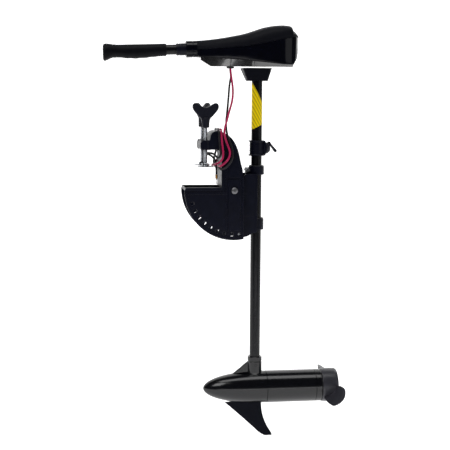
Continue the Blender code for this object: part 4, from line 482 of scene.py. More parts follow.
def clamp_casting():
    """The casting: C-shaped core, two quadrant cheeks with rims, lips, bands and ribs, and the seat."""
    pivot = (PIVOT_X, PIVOT_Z)
    core = ARCH_BACK[:-1] + ARCH_HOLLOW + MOUTH
    end_deg = -math.degrees(math.acos((BACK_EDGE_X - PIVOT_X) / QUADRANT_RADIUS))
    rim = arc(pivot, QUADRANT_RADIUS, end_deg, -180, 48)
    cheek = ARCH_BACK + BACK + rim + [(-55, -4), (-54, -0.6), (42.5, -0.6)] + MOUTH[1:]
    slots = [slot_hole(97 - 10 * k) for k in range(9)]
    bolt = arc(pivot, PIVOT_HOLE, 0, 345, 23)
    shapes = [plate(core, -CHEEK_INSIDE - 1, CHEEK_INSIDE + 1, bevel=0.5)]
    flange = arc(pivot, QUADRANT_RADIUS - 0.4, end_deg, -177, 48)
    flange += arc(pivot, QUADRANT_RADIUS - 9.2, -177, end_deg, 48)
    lip = [(98.4, -136), (102.1, -138), (102.1, 0), (100.5, 24), (96.6, 24), (98.4, 0)]
    band = [(PIVOT_X - 16, -116), (PIVOT_X + 16, -116), (PIVOT_X + 16, 20), (PIVOT_X - 16, 20)]
    upper = [
        (PIVOT_X - 13, 26), (PIVOT_X + 15, 26), (PIVOT_X + 10, 74), (PIVOT_X - 1, 79), (PIVOT_X - 13, 75),
    ]
    shelf = [(-51, -13.5), (PIVOT_X - 19, -13.5), (PIVOT_X - 19, -18.5), (-49.5, -18.5)]
    spine_rib = [(48.5, -13), (52, -13), (52, 92), (49.5, 97), (45.5, 97), (48.5, 91)]
    rib_out = [(PIVOT_X - 23.5, -124), (PIVOT_X - 20.5, -124), (PIVOT_X - 20.5, 92), (PIVOT_X - 23.5, 92)]
    ring = [(9.3, 99.4), (13, 99.4), (13, 124), (12.4, 124.6), (9.3, 124.6)]
    layers = [
        (cheek, CHEEK_INSIDE, ARM_HALF_WIDTH, [*slots, bolt], 1.2),
        (flange, ARM_HALF_WIDTH - 1.5, ARM_HALF_WIDTH + 1.6),
        (lip, ARM_HALF_WIDTH - 1.5, ARM_HALF_WIDTH + 1.4),
        (band, ARM_HALF_WIDTH - 2, ARM_HALF_WIDTH + 2.5, [bolt], 0.9),
        (upper, ARM_HALF_WIDTH - 2, ARM_HALF_WIDTH + 1.5),
        (shelf, ARM_HALF_WIDTH - 2, ARM_HALF_WIDTH + 1.3),
        (spine_rib, ARM_HALF_WIDTH - 2, ARM_HALF_WIDTH + 1.0),
        (rib_out, ARM_HALF_WIDTH - 2, ARM_HALF_WIDTH + 0.9),
    ]
    for side in (-1, 1):
        shapes += [on_side(side, *layer) for layer in layers]
        shapes.append(turned(ring, (0, side * SCREW_Y, 0), sides=48))
    seat = [(-54.6, -8), (41.5, -8), (41.5, 0), (-53.8, 0), (-54.6, -0.9)]
    shapes.append(plate(seat, -SEAT_HALF_WIDTH, SEAT_HALF_WIDTH, bevel=0.7))
    piece("clamp_casting", shapes, CASTING, "clamp_body")


def threaded(start, end, radius, pitch):
    """A helical thread between two heights, about the Z axis at the origin."""
    sides = 24
    rows = int((end - start) / pitch * 6)
    rings = []
    for i in range(rows + 1):
        height = start + (end - start) * i / rows
        ring = []
        for k in range(sides):
            angle = 2 * math.pi * k / sides
            phase = (height / pitch - k / sides) % 1
            size = radius - 0.75 * abs(2 * phase - 1)
            ring.append((size * math.cos(angle), size * math.sin(angle), height))
        rings.append(ring)
    return loft(rings)


def placed_at(shape, x, y, turn_deg=0):
    shape.transform(Matrix.Translation((x, y, 0)) @ Matrix.Rotation(math.radians(turn_deg), 4, "Z"))
    return shape


def clamp_screws():
    """Threaded rods with swivel pads, and wing knobs with fluted hubs."""
    half = [
        (0, 210.6), (4, 211.2), (10, 213.8), (16, 217.8), (21.5, 221), (26, 222.6), (29.5, 222.3),
        (32.8, 220), (34.8, 215.5), (34.6, 210), (32.5, 204.5), (28, 198.5), (22, 191.5), (16.5, 186),
        (12.5, 181.5), (10.6, 177), (10.2, 170),
    ]
    wings = half + [(-x, z) for x, z in reversed(half)][:-1]
    for name, side, turn in (("near", -1, 0), ("far", 1, 52)):
        y = side * SCREW_Y
        thread = [threaded(66, 168, 5.2, 3.0), rod((0, 0, 58.6), (0, 0, 66.5), 4.0, 24)]
        piece(f"screw_rod_{name}", [placed_at(shape, 0, y) for shape in thread], STEEL, f"clamp_screw_{name}")
        profile = [
            (0, 55.6), (20.5, 55), (22, 55.1), (22.5, 55.6), (22.4, 56.4), (21.4, 57), (12, 57.7),
            (9.6, 58.4), (9, 59.6), (8.8, 63), (8, 64), (4.3, 64), (4.3, 58.3), (0, 58.3),
        ]
        piece(f"pad_{name}", [turned(profile, (0, y, 0))], STEEL, f"clamp_pad_{name}")
        insert = [(5.5, 100.3), (8.4, 100.3), (9, 100.9), (9, 123.1), (8.4, 123.7), (5.5, 123.7)]
        piece(f"insert_{name}", [turned(insert, (0, y, 0), sides=48)], BRASS, f"threaded_insert_{name}")
        hub = [(5.5, 158), (9, 158), (9.9, 158.8), (9.9, 181), (8.6, 183.5), (5.5, 184.5)]
        hub = turned(hub, sides=72, wave=ridges(12, 0.35, 9.8))
        spine = brick((-3.2, -6.2, 170), (3.2, 6.2, 209.5), 1.2)
        shapes = [hub, spine, plate(wings, -5.5, 5.5, bevel=2.4)]
        piece(f"knob_{name}", [placed_at(shape, 0, y, turn) for shape in shapes], KNOB, f"wing_knob_{name}")


def pivot_fasteners():
    outside = ARM_HALF_WIDTH + 2.8
    profile = [
        (0, 5), (3, 4.9), (5.8, 4.3), (7.8, 3.2), (8.8, 1.8), (9, 0.6), (8.8, 0), (5, 0), (5, -107),
        (4.4, -107.6), (0, -107.6),
    ]
    shapes = [turned(profile, (PIVOT_X, -outside, PIVOT_Z), (0, -1, 0), 48)]
    piece("pivot_bolt_domed", shapes, DULL_STEEL, "pivot_bolt")
    nut = [(PIVOT_HOLE, 0), (8.2, 0), (9, 0.7), (9, 5.3), (8.2, 6), (PIVOT_HOLE, 6)]
    nut = turned(nut, (PIVOT_X, outside, PIVOT_Z), (0, 1, 0), 6)
    piece("pivot_nut_hex", [nut], STEEL, "pivot_nut", sharp=20)


# ---------------------------------------------------------------- swivel and collars


def ring_profile(inner, outer, low, high, ease=0.7):
    return [
        (inner, low), (outer - ease, low), (outer, low + ease), (outer, high - ease), (outer - ease, high),
        (inner, high),
    ]


def swivel():
    """The swivel bracket with its collars, its tension screw, the two bushes, and the tilt lock's knob."""
    knuckle = arc((PIVOT_X, PIVOT_Z), 14, 262, 62, 26)
    wall = [
        *knuckle, (104, 27), (106.2, 30.5), (109, 33), (113, 34), (139.5, 34), (141, 32.5), (141, -121),
        (139.5, -122.4), (127, -126), (119, -131.5), (113, -134.2), (100, -136.6), (84, -136.6),
        (80.6, -135.5),
    ]
    bolt = arc((PIVOT_X, PIVOT_Z), PIVOT_HOLE, 0, 345, 23)
    lock = middle_of("tilt_lock_pin", 0), middle_of("tilt_lock_pin", 2)
    pin = arc(lock, LOCK_HOLE, 0, 345, 23)
    shapes = [
        plate(wall, -31, -26, [bolt, pin], 0.8),
        plate(wall, 26, 31, [bolt], 0.8),
        brick((116.4, -26.5, -122), (121.4, 26.5, 30)),
        brick((117, -26.5, 27), (140.5, 26.5, 33.5)),
        brick((117, -26.5, -121.5), (140.5, 26.5, -115)),
        brick((118, -4, -118), (124, 4, -88)),
    ]
    for side in (-1, 1):
        edge = [(138.2, -119), (141.6, -119), (141.6, 31), (138.2, 31)]
        shapes.append(on_side(side, edge, 29, 31.6))
        shapes.append(brick((96, side * 30 - 1.3, -20), (112, side * 30 + 1.3, -14), 0.6))
        shapes.append(brick((96, side * 30 - 1.3, -80), (130, side * 30 + 1.3, -76), 0.6))
        start, end = (1.3, 12) if side > 0 else (-12, -1.3)
        shapes.append(brick((113, start, 33), (127, end, 50), 1.4))
    shapes.append(turned(ring_profile(PIVOT_HOLE, 13.5, -39.3, 39.3), (PIVOT_X, 0, PIVOT_Z), (0, 1, 0), 48))
    for low, high in ((31, 54), (-118, -88)):
        shapes.append(turned(ring_profile(17.4, 20.9, low, high, 0.9), (SHAFT_X, 0, 0), sides=80))
    shapes.append(turned(ring_profile(6.4, 9, 0, 18, 0.8), (lock[0], -27, lock[1]), (0, 1, 0), 40))
    piece("swivel_casting", shapes, CASTING, "swivel_bracket")

    x, z = middle_of("steering_tension_nut", 0), 44.0
    head = [(0, 5), (4.6, 5), (5.9, 4.2), (6, 0.4), (5.6, 0), (0, 0)]
    shapes = [turned(head, (x, -12.3, z), (0, -1, 0), 6), rod((x, -12.5, z), (x, 18.8, z), 3, 24)]
    piece("tension_screw_hex", shapes, STEEL, "steering_tension_screw", sharp=20)
    for name, node in (("upper", "upper_bush"), ("lower", "lower_bush")):
        low, high = low_of(node, 2), high_of(node, 2)
        profile = [
            (14.6, low), (17, low), (17, high - 2), (19.4, high - 2), (19.9, high - 1.5), (19.9, high - 0.5),
            (19.3, high), (15.4, high), (14.6, high - 0.7),
        ]
        piece(f"bush_{name}", [turned(profile, (SHAFT_X, 0, 0), sides=72)], NYLON, node)
    y = low_of("tilt_lock_knob", 1)
    knob = [
        (0, 10), (6.5, 10), (8.1, 9), (8.6, 7.5), (8.6, 2), (7.6, 0.4), (LOCK_HOLE, 0), (LOCK_HOLE, 0.6),
        (0, 0.6),
    ]
    knob = turned(knob, (lock[0], y, lock[1]), (0, 1, 0), 60, ridges(10, 0.4, 8.4))
    piece("lock_pull_knob", [knob], KNOB, "tilt_lock_knob")


def depth_collar():
    """The collar with its two flanges and clamping boss, and the lobed knob with a wing."""
    low, high = low_of("depth_collar", 2), high_of("depth_collar", 2)
    profile = [
        (14.6, high), (21.6, high), (22.3, high - 0.7), (22.3, high - 2.4), (21.7, high - 3),
        (19.6, high - 3.4), (18.7, high - 4.4), (18.7, low + 4.4), (19.6, low + 3.4), (21.7, low + 3),
        (22.3, low + 2.4), (22.3, low + 0.7), (21.6, low), (14.6, low),
    ]
    boss = [
        (160, low + 1), (164.7, low + 1), (167.7, low + 6), (167.7, high - 6), (164.7, high - 1),
        (160, high - 1),
    ]
    ribs = [ring_profile(18, 19.6, z - 0.8, z + 0.8, 0.5) for z in (95.5, 109.5)]
    ribs = [turned(rib, (SHAFT_X, 0, 0), sides=72) for rib in ribs]
    shapes = [turned(profile, (SHAFT_X, 0, 0), sides=80), plate(boss, -11, 11, bevel=1.2), *ribs]
    piece("collar_ring", shapes, CASTING, "depth_collar")
    middle, face = (low + high) / 2, 168.0
    hub = [
        (0, 0), (13.2, 0), (14.2, 0.8), (14.3, 5), (13.2, 6.4), (11.4, 8), (10.2, 10.2), (8.8, 11), (0, 11),
    ]
    wing = [
        (173, 118.5), (176, 120), (179.5, 119.4), (183, 113), (197.5, 97), (198.2, 93.6), (195.8, 91),
        (191.5, 92),
    ]
    hub = turned(hub, (face, 0, middle), (1, 0, 0), 64, ridges(8, 0.7, 12))
    shapes = [hub, plate(wing, -5.8, 5.8, bevel=1.8)]
    shapes.append(rod((157.8, 0, middle), (169, 0, middle), 3, 24))
    piece("collar_wing_knob", shapes, KNOB, "depth_collar_knob")


# ---------------------------------------------------------------- shaft, head and tiller


def shaft():
    low, high = low_of("shaft_tube", 2), high_of("shaft_tube", 2)
    tube = ring_profile(SHAFT_RADIUS - 2.4, SHAFT_RADIUS, low, high, 0.5)
    piece("shaft_pipe", [turned(tube, (SHAFT_X, 0, 0), sides=96)], TUBE, "shaft_tube")


def shaft_label():
    """A film wrapped on the near side of the shaft, with slanted ends."""
    steps, inner, outer = 40, SHAFT_RADIUS + 0.02, SHAFT_RADIUS + 0.16
    sections = []
    for i in range(steps + 1):
        t = i / steps
        angle = math.radians(168 + 216 * t)
        share = min(max((1 + math.cos(angle)) / 2, 0), 1)
        low, high = 152 + 15 * share, 278 - 55.5 * share
        corners = [(inner, low), (outer, low), (outer, high), (inner, high)]
        sections.append([(SHAFT_X + r * math.cos(angle), r * math.sin(angle), z) for r, z in corners])
    piece("shaft_label", [loft(sections)], LABEL, "shaft_tube", stands_in=False)


# Sections along the head: X from the shaft, half width, lower edge, split between the shells, top
HEAD = [
    (-163, 23, 343, 361.5, 385.5), (-140, 30, 341.5, 363, 387.5), (-98, 43, 339, 366, 393),
    (-44, 56, 335.5, 370.5, 403.5), (-17, 60, 333, 374, 411.5), (10, 63, 330, 379.5, 420.5),
    (37, 64, 327.5, 385, 426), (62, 61, 325, 391, 428), (78, 56, 324.5, 394, 427),
    (86, 52, 324.5, 395.2, 424.5), (90, 48.5, 324.8, 396, 415.5), (96, 43, 333, 396.2, 411),
    (101, 35.5, 342, 396, 406), (105, 28, 360, 395.6, 402), (107, 21, 372, 395, 400),
]


def cover_section(station):
    """The cover across the head: a short rolled edge at the split line, then a full dome."""
    x, half, _, split, top = station
    points = 41
    split += 0.35
    ring = [(SHAFT_X + x, half - 1.4, split)]
    for i in range(points):
        angle = math.pi * i / (points - 1)
        across = math.copysign(abs(math.cos(angle)) ** 0.55, math.cos(angle))
        lift = math.sin(angle) ** 0.75
        ring.append((SHAFT_X + x, half * across, split + 0.5 + (top - split - 0.5) * lift))
    ring.append((SHAFT_X + x, -half + 1.4, split))
    return ring


def side_section(station):
    """The side body across the head: two walls that lean in towards the bottom with a rolled lower edge."""
    x, half, low, split, _ = station
    points = 12
    split -= 0.35
    wall = []
    for i in range(points):
        t = i / (points - 1)
        lean = 0.93 + 0.07 * math.sin(math.pi / 2 * t) + 0.012 * math.sin(math.pi * t)
        wall.append((half * lean, low + 0.8 + (split - low - 1.3) * t))
    wall = [(half * 0.93 - 1.6, low), (half * 0.93 - 0.6, low + 0.15)] + wall + [(half - 0.5, split)]
    return [(SHAFT_X + x, -y, z) for y, z in wall] + [(SHAFT_X + x, y, z) for y, z in reversed(wall)]


def handle_axis():
    joint = next(j for j in frame["joints"] if j["name"] == "grip_twist")
    return Vector(joint["pos_m"]) / MM, Vector(joint["axis"]).normalized()


HANDLE_AT, HANDLE_WAY = handle_axis()


def along_handle(profile):
    """A profile of (radius, distance) about the tiller's axis."""
    return turned(profile, HANDLE_AT, HANDLE_WAY, 72)


def head():
    """The head's two shells. The side shell carries the collar for the tiller."""
    stations = spline(HEAD, 5)
    piece("cover_shell", [loft([cover_section(s) for s in stations])], COVER, "head_cover", sharp=50)

    beads = []
    for side in (-1, 1):
        path = [(SHAFT_X + s[0], side * (s[1] * 0.93 + 0.1), s[2] + 0.9) for s in stations if s[0] < 90]
        beads.append(sweep(path, 1.15, 10))
    boss = [
        (16.4, -30), (22, -30), (22, -17.5), (21.2, -16.8), (21.2, -15.2), (22, -14.5), (22, 0.9), (21, 2),
        (16.4, 2),
    ]
    shapes = [loft([side_section(s) for s in stations]), along_handle(boss), *beads]
    piece("side_shell", shapes, GLOSS, "head_side_body", sharp=40)


def split_height(x):
    """Height of the side body's lower edge at a place along the head."""
    for one, other in zip(HEAD, HEAD[1:]):
        if one[0] <= x <= other[0]:
            return one[2] + (other[2] - one[2]) * (x - one[0]) / (other[0] - one[0])
    return HEAD[-1][2]


def pan_section(x, half, low):
    high = split_height(x) - 0.3
    wall = [(half * 0.9 - 1.5, low), (half * 0.9 - 0.4, low + 0.2), (half * 0.9, low + 1), (half, high)]
    return [(SHAFT_X + x, -y, z) for y, z in wall] + [(SHAFT_X + x, y, z) for y, z in reversed(wall)]


def base_pan():
    """The pan under the head, with three ribs on each flank."""
    # X from the shaft, half width, lower face
    pan = [
        (-155, 26, 334.8), (-141, 30.5, 326), (-129, 34, 318.4), (-124, 35, 318), (-98, 39, 318),
        (-44, 50, 318), (10, 55, 318), (62, 53, 318), (84, 43, 318), (90, 40, 318.6),
    ]
    shapes = [loft([pan_section(*s) for s in pan])]
    for x in (-128, -77, -20):
        station = next(s for s in reversed(pan) if s[0] <= x)
        for side in (-1, 1):
            half = station[1] + (x - station[0]) * 0.2
            rib = [
                (SHAFT_X + x, side * (half * 0.9 - 1), 318.6),
                (SHAFT_X + x, side * (half * 0.9 + 0.4), 319.5),
                (SHAFT_X + x, side * (half + 0.9), split_height(x) - 1),
                (SHAFT_X + x, side * (half - 3), split_height(x) - 1),
            ]
            shapes.append(loft([[(p[0] + shift, *p[1:]) for p in rib] for shift in (-1.8, 1.8)]))
    piece("base_pan", shapes, PAN, "head_base", sharp=30)


def bracket_and_grommet():
    """The funnel-shaped bracket between head and shaft, and the rubber grommet for the leads."""
    # height, front and back from the shaft, half width
    levels = [
        (281.5, -28.4, 26.9, 18.4), (282.2, -29, 27.5, 19), (313.6, -42.4, 35.5, 29.6),
        (315.2, -42.6, 35.6, 29.8), (315.5, -41, 34, 28.2),
    ]
    corner = 8
    sections = []
    for z, front, back, half in levels:
        outline = []
        corners = (
            (back - corner, half - corner), (front + corner, half - corner),
            (front + corner, -half + corner), (back - corner, -half + corner),
        )
        for k, (x, y) in enumerate(corners):
            outline += arc((SHAFT_X + x, y), corner, 90 * k, 90 * k + 90, 5)
        sections.append([(x, y, z) for x, y in outline])
    piece("bracket_moulding", [loft(sections)], SATIN, "head_bracket", sharp=28)

    x, y = middle_of("lead_grommet", 0), middle_of("lead_grommet", 1)
    profile = [
        (6.5, 323), (8, 323), (8, 317.7), (10.2, 317.7), (10.5, 317), (10.2, 315.4), (9, 313.2), (7.6, 313),
        (6.5, 313.2),
    ]
    piece("grommet", [turned(profile, (x, y, 0), sides=48)], RUBBER, "lead_grommet")


def tiller():
    """Sleeve with its clip ring, sliding tube, and the grip with ribs and a flared end."""
    ribs = [
        (13.6, 27), (15.4, 27), (16, 26.4), (16, 22), (15.2, 21.4), (15.2, 19.6), (16, 19), (16, -103.5),
        (13.6, -103.5),
    ]
    lugs = []
    for turn in (35, 145, 215, 325):
        angle = math.radians(turn)
        side = Vector((0, math.cos(angle), 0)) + HANDLE_WAY.cross(Vector((0, 1, 0))) * math.sin(angle)
        start = HANDLE_AT + HANDLE_WAY * 4 + side * 14.8
        lugs.append(sweep([start, start + HANDLE_WAY * 14], 1.5, 10))
    piece("sleeve_moulding", [along_handle(ribs), *lugs], CASTING, "handle_sleeve")
    tube = [(11.3, -112), (12.8, -112), (13.3, -111.5), (13.3, 113.5), (12.8, 114), (11.3, 114)]
    piece("tiller_tube", [along_handle(tube)], TUBE, "handle_tube")

    # distance along the grip, radius, rise
    knots = [
        (0, 15.2, 0), (1, 16.1, 0), (3, 16.4, 0), (14, 16.4, -0.2), (27, 16.8, -0.6), (55, 18, -1.8),
        (82, 18.6, -2.2), (100, 18.2, -1.8), (128, 16.9, -0.4), (143, 18.2, 0), (155, 21.5, -1.5),
        (161, 22.3, -2.8), (164.5, 20.6, -3.4), (GRIP_LENGTH, 17, -3.8),
    ]
    lift = HANDLE_WAY.cross(Vector((0, 1, 0)))
    lift = lift if lift.z > 0 else -lift
    rings = []
    for along, radius, rise in spline(knots, 6):
        along = min(max(along, 0), GRIP_LENGTH)
        at_grooves = 6 < along < 14 or 132 < along < 141
        if at_grooves:
            radius += 0.45 * math.sin(math.pi * (along - 6) / 1.33)
        middle = HANDLE_AT + HANDLE_WAY * (54 + along) + lift * rise
        ring = []
        for i in range(56):
            angle = 2 * math.pi * i / 56
            below = max(0, -math.sin(angle))
            finger = 0.4 * below * math.cos(2 * math.pi * (along - 30) / 25) if 24 < along < 124 else 0
            size = radius + finger
            ring.append(middle + lift * size * math.sin(angle) + Vector((0, 1, 0)) * size * math.cos(angle))
        rings.append(ring)
    piece("grip_moulding", [loft(rings)], GRIP, "twist_grip", sharp=45)


# ---------------------------------------------------------------- motor pod


def on_axis(profile):
    """A profile of (radius, X) about the motor's axis."""
    return turned(profile, (0, 0, MOTOR_Z), (1, 0, 0), 96)


def motor():
    """Nose with its shaft collar and gusset, tube and end bell."""
    radius, length, joint = MOTOR_RADIUS, NOSE_LENGTH, high_of("nose_housing", 0)
    angles = [math.pi / 2 * i / 22 for i in range(23)]
    nose = [(radius * math.sin(t), length * (1 - math.cos(t))) for t in angles]
    nose += [(radius, joint - 0.9), (radius - 0.9, joint), (radius - 3, joint), (radius - 3, 150)]
    inside = (1.35, 1.2, 1.05, 0.96)
    nose += [(radius * math.sin(t) - 3, max(length * (1 - math.cos(t)), 69)) for t in inside]
    nose.append((0, 69))
    top = high_of("nose_housing", 2)
    collar = [
        (14.6, top), (19, top), (19.9, top - 0.9), (19.9, top - 11), (19.2, top - 12), (19.2, top - 13.6),
        (19.9, top - 14.6), (19.9, MOTOR_Z + 42), (22, MOTOR_Z + 40), (14.6, MOTOR_Z + 40),
    ]
    gusset = [
        (126, top - 12.5), (117, top - 19), (103, top - 31), (86, top - 44.5), (78, top - 51),
        (126, top - 51),
    ]
    shapes = [on_axis(nose), turned(collar, (SHAFT_X, 0, 0), sides=72), plate(gusset, -4, 4, bevel=1.4)]
    for side in (-1, 1):
        shapes.append(rod((SHAFT_X, side * 19, top - 22), (SHAFT_X, side * 21.4, top - 22), 3.4, 24, 0.7))
    piece("nose_casting", shapes, PAINT, "nose_housing", sharp=30)

    low, high = low_of("motor_tube", 0), high_of("motor_tube", 0)
    tube = [
        (radius - 3, low), (radius - 0.8, low), (radius, low + 0.8), (radius, high - 0.8),
        (radius - 0.8, high), (radius - 3, high),
    ]
    piece("motor_can", [on_axis(tube)], PAINT, "motor_tube")

    low, high = high + 0.3, high_of("end_bell", 0)
    bell = [
        (13.3, low - 6), (17.3, low - 6), (17.3, low), (radius - 0.8, low), (radius, low + 0.8),
        (radius, high - 2), (radius - 0.6, high - 0.7), (radius - 1.6, high), (10.3, high),
        (10.3, high - 6.3), (5.6, high - 6.3), (5.6, low + 4), (13.3, low + 4),
    ]
    piece("end_bell_casting", [on_axis(bell)], PAINT, "end_bell")


def fin():
    """The skeg: thin lens sections between a swept leading edge and a hollow trailing edge."""
    root, tip = MOTOR_Z - MOTOR_RADIUS + 3.5, low_of("skeg_fin", 2)
    sections = []
    count = 26
    for i in range(count + 1):
        share = i / count
        z = root + (tip - root) * share
        start = 59.5 + 106.5 * share + 1.5 * math.sin(math.pi * share)
        end = 162.5 + 34.2 * share**2.2
        if share > 0.9:  # the tip is rounded off
            start += 180 * (share - 0.9) ** 1.5
            end -= 280 * (share - 0.9) ** 2
        thick = 4.4 - 2.2 * share
        outline = []
        for k in range(25):
            t = k / 24
            outline.append((start + (end - start) * t, thick * math.sin(math.pi * t**0.75) ** 0.6 + 0.02))
        near = [(x, -y, z) for x, y in outline]
        sections.append(near + [(x, y, z) for x, y in outline[-2:0:-1]])
    radius = MOTOR_RADIUS + 0.3
    made = loft(sections)
    # the top of the fin follows the underside of the pod
    for vertex in made.vertices:
        x, y, z = vertex.co
        curve = radius * math.sqrt(max(0, 1 - max(1 - x / NOSE_LENGTH, 0) ** 2))
        limit = MOTOR_Z - math.sqrt(max(curve**2 - y * y, 0)) - 0.1
        if z > limit:
            vertex.co.z = limit
    piece("skeg", [made], SATIN, "skeg_fin", sharp=38)


def propeller():
    """Hub shell, inner boss with spokes, and two cupped blades."""
    low, high = low_of("propeller", 0), HUB_REAR_X
    outer = MOTOR_RADIUS
    hub = [
        (5.3, low + 8), (outer - 6, low + 8), (outer - 3, low + 0.4), (outer, low), (outer + 0.8, low + 1.2),
        (outer + 1.6, low + 9), (outer + 1.6, high - 9), (outer + 1.1, high - 3.5),
        (outer - 0.6, high - 0.8), (outer - 3, high), (outer - 5.5, high - 1.4), (outer - 6.2, high - 5),
        (outer - 6.5, high - 12.5), (17.5, high - 13), (16.5, high - 12.4), (16, high - 16),
        (5.3, high - 16),
    ]
    shapes = [on_axis(hub)]
    for k in range(6):
        angle = math.radians(60 * k + 30)
        way = Vector((0, math.cos(angle), math.sin(angle)))
        middle = Vector((high - 11.5, 0, MOTOR_Z))
        shapes.append(sweep([middle + way * 16, middle + way * (outer - 5)], 2.2, 8))
    # reach, section's front end (X, height) and back end (X, height), bow, half thickness
    knots = [
        (36, 4, -27, 37, 4, 5, 2.6), (52, 6, -31, 41, 9, 8, 2.2), (66, 8.2, -33.4, 42.8, 12, 9.8, 2),
        (82, 11, -34, 44, 14, 11, 1.7), (94, 13.6, -33.8, 44.8, 14.4, 10.8, 1.5),
        (103, 16.4, -32, 45, 13, 9.4, 1.3), (109, 19.6, -29, 45, 10, 8, 1),
        (BLADE_REACH, 25, -23, 44.4, 3, 5, 0.6),
    ]
    for side in (-1, 1):
        rings = []
        for reach, front, low_end, back, high_end, bow, half in spline(knots, 3):
            start, end = Vector((front, low_end)), Vector((back, high_end))
            chord = (end - start).normalized()
            outwards = Vector((chord.y, -chord.x))
            ring = []
            for face in (1, -1):
                for i in range(19):
                    t = i / 18 if face > 0 else 1 - i / 18
                    edge = 0.3 + max(math.sin(math.pi * t), 0) ** 0.5 * half
                    point = start.lerp(end, t) + outwards * (4 * bow * t * (1 - t) + face * edge)
                    ring.append((low + point.x, side * min(reach, BLADE_REACH), MOTOR_Z - side * point.y))
            rings.append(ring)
        shapes.append(loft(rings))
    piece("propeller_moulding", shapes, BLADE, "propeller", sharp=35)


# ---------------------------------------------------------------- battery leads


RED_ROUTE = [
    (66, -33.5, 321), (66, -33.5, 308), (69.6, -37, 280), (71.7, -42, 255), (69, -47, 228),
    (61.6, -52.5, 204), (53.5, -57.5, 176), (47, -58, 150), (51, -55, 128), (58, -54, 110),
    (63.5, -54.5, 94), (61, -55.5, 79), (52, -56, 68), (44, -56, 61), (39.6, -52.5, 57.5), (38.2, -46, 56),
    (38.2, -30, 55.5), (38.2, 0, 55.5), (38.2, 30, 56), (38.2, 46, 57.5), (40, 53, 62), (44.5, 56, 73),
    (48, 55.5, 90), (50, 55, 110), (48.5, 56, 134), (45.5, 54.5, 146), (43.5, 50, 152), (42.5, 42, 153.8),
    (42, 20, 153), (41.5, 0, 152.8), (41, -20, 153), (40.5, -42, 154), (40, -50.5, 152), (39.8, -55, 145),
    (40.5, -55.2, 135), (41.8, -54, 120), (44, -54, 103), (45.5, -54.5, 88), (43, -55.5, 76),
    (37, -50, 67.5), (30, -38, 63), (26.5, -26, 60), (22, -17, 58.4), (21.3, -12, 58), (23, -7.5, 58),
]
BLACK_ROUTE = [
    (66, -26.5, 321), (66, -26.5, 308), (67.8, -29, 293), (63, -35, 268), (60, -40, 236), (56.5, -45.5, 204),
    (53, -50.5, 178), (53.5, -51.6, 152), (58.5, -52, 132), (66, -52.5, 113), (70.5, -54, 94),
    (68, -55.5, 73), (59, -56.5, 59.5), (48, -57, 50.5), (40.2, -53, 48), (38.2, -46, 48), (38.2, -30, 48),
    (38.2, 0, 47.5), (38.2, 30, 48), (37.8, 46, 49), (36, 52, 51.5), (33.8, 56.2, 59), (34.5, 57, 70),
    (38, 56.5, 85), (41.5, 56, 100), (43, 56, 118), (41.5, 56.5, 134), (38.5, 55, 145.5), (37, 50, 152),
    (36.3, 42, 153.9), (35.6, 20, 153.3), (35.2, 0, 153.2), (34.6, -20, 153.3), (34.2, -42, 154),
    (33.8, -50.5, 152), (33.4, -55, 145), (34, -55.2, 135), (35.2, -53.8, 120), (37.2, -53.5, 103),
    (38.8, -54.5, 90), (36.5, -54, 80), (31, -47.5, 78), (28, -37, 82.5), (22, -20, 89), (10, -11, 90),
    (0, 0, 88.5), (9, 10.5, 86.5), (19, 11, 83.5), (27, 7, 76), (31, -4, 69), (31.8, -13, 57), (32, -18, 44),
    (32, -18.5, 32.5),
]


def resampled(points, spacing):
    """Evenly spaced points along a path, with its tight bends eased."""
    knots = [Vector(p) for p in points]
    run = [0.0]
    for one, other in zip(knots, knots[1:]):
        run.append(run[-1] + (other - one).length)
    count = round(run[-1] / spacing)
    picked, k = [], 0
    for i in range(count + 1):
        wanted = run[-1] * i / count
        while k < len(run) - 2 and run[k + 1] < wanted:
            k += 1
        share = (wanted - run[k]) / (run[k + 1] - run[k])
        picked.append(knots[k].lerp(knots[k + 1], min(max(share, 0), 1)))
    for _ in range(7):
        inner = [(a + 2 * b + c) / 4 for a, b, c in zip(picked, picked[1:], picked[2:])]
        picked = [picked[0], *inner, picked[-1]]
    return picked


def lead(name, route, material, terminal):
    """One battery lead swept in three stretches, named for the head, the swivel and the clamp, and cut at two
    handover heights.
    """
    node = f"battery_lead_{name}"
    path = resampled(spline(route, 12), LEAD_SPACING)
    handovers = [next(i for i, p in enumerate(path) if p.z < z) for z in LEAD_HEIGHTS[1:3]]
    cuts = [0, *handovers, len(path) - 1]
    for k, where in enumerate(("head", "swivel", "clamp")):
        stretch = path[cuts[k] : cuts[k + 1] + 1]
        placed = solid(f"lead_{name}_{where}", [sweep(stretch, LEAD_RADIUS, 16)], material, 50)
        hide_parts(node)
        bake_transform(placed)


def terminal_sleeve(name, route):
    """The crimped vinyl sleeve at a lead's end."""
    path = resampled(spline(route, 12), LEAD_SPACING)
    end = path[-1]
    way = (end - path[-2]).normalized()
    profile = [
        (0, 0.3), (3.0, 0.3), (3.4, 0.8), (3.4, 3.2), (3.05, 3.8), (3.05, 5.4), (3.3, 6), (3.1, 9.4),
        (2.7, 10.9), (1.6, 11), (0, 10.4),
    ]
    return piece(f"crimp_sleeve_{name}", [turned(profile, end, way, 32)], SLEEVE, f"terminal_sleeve_{name}")


# ---------------------------------------------------------------- studio


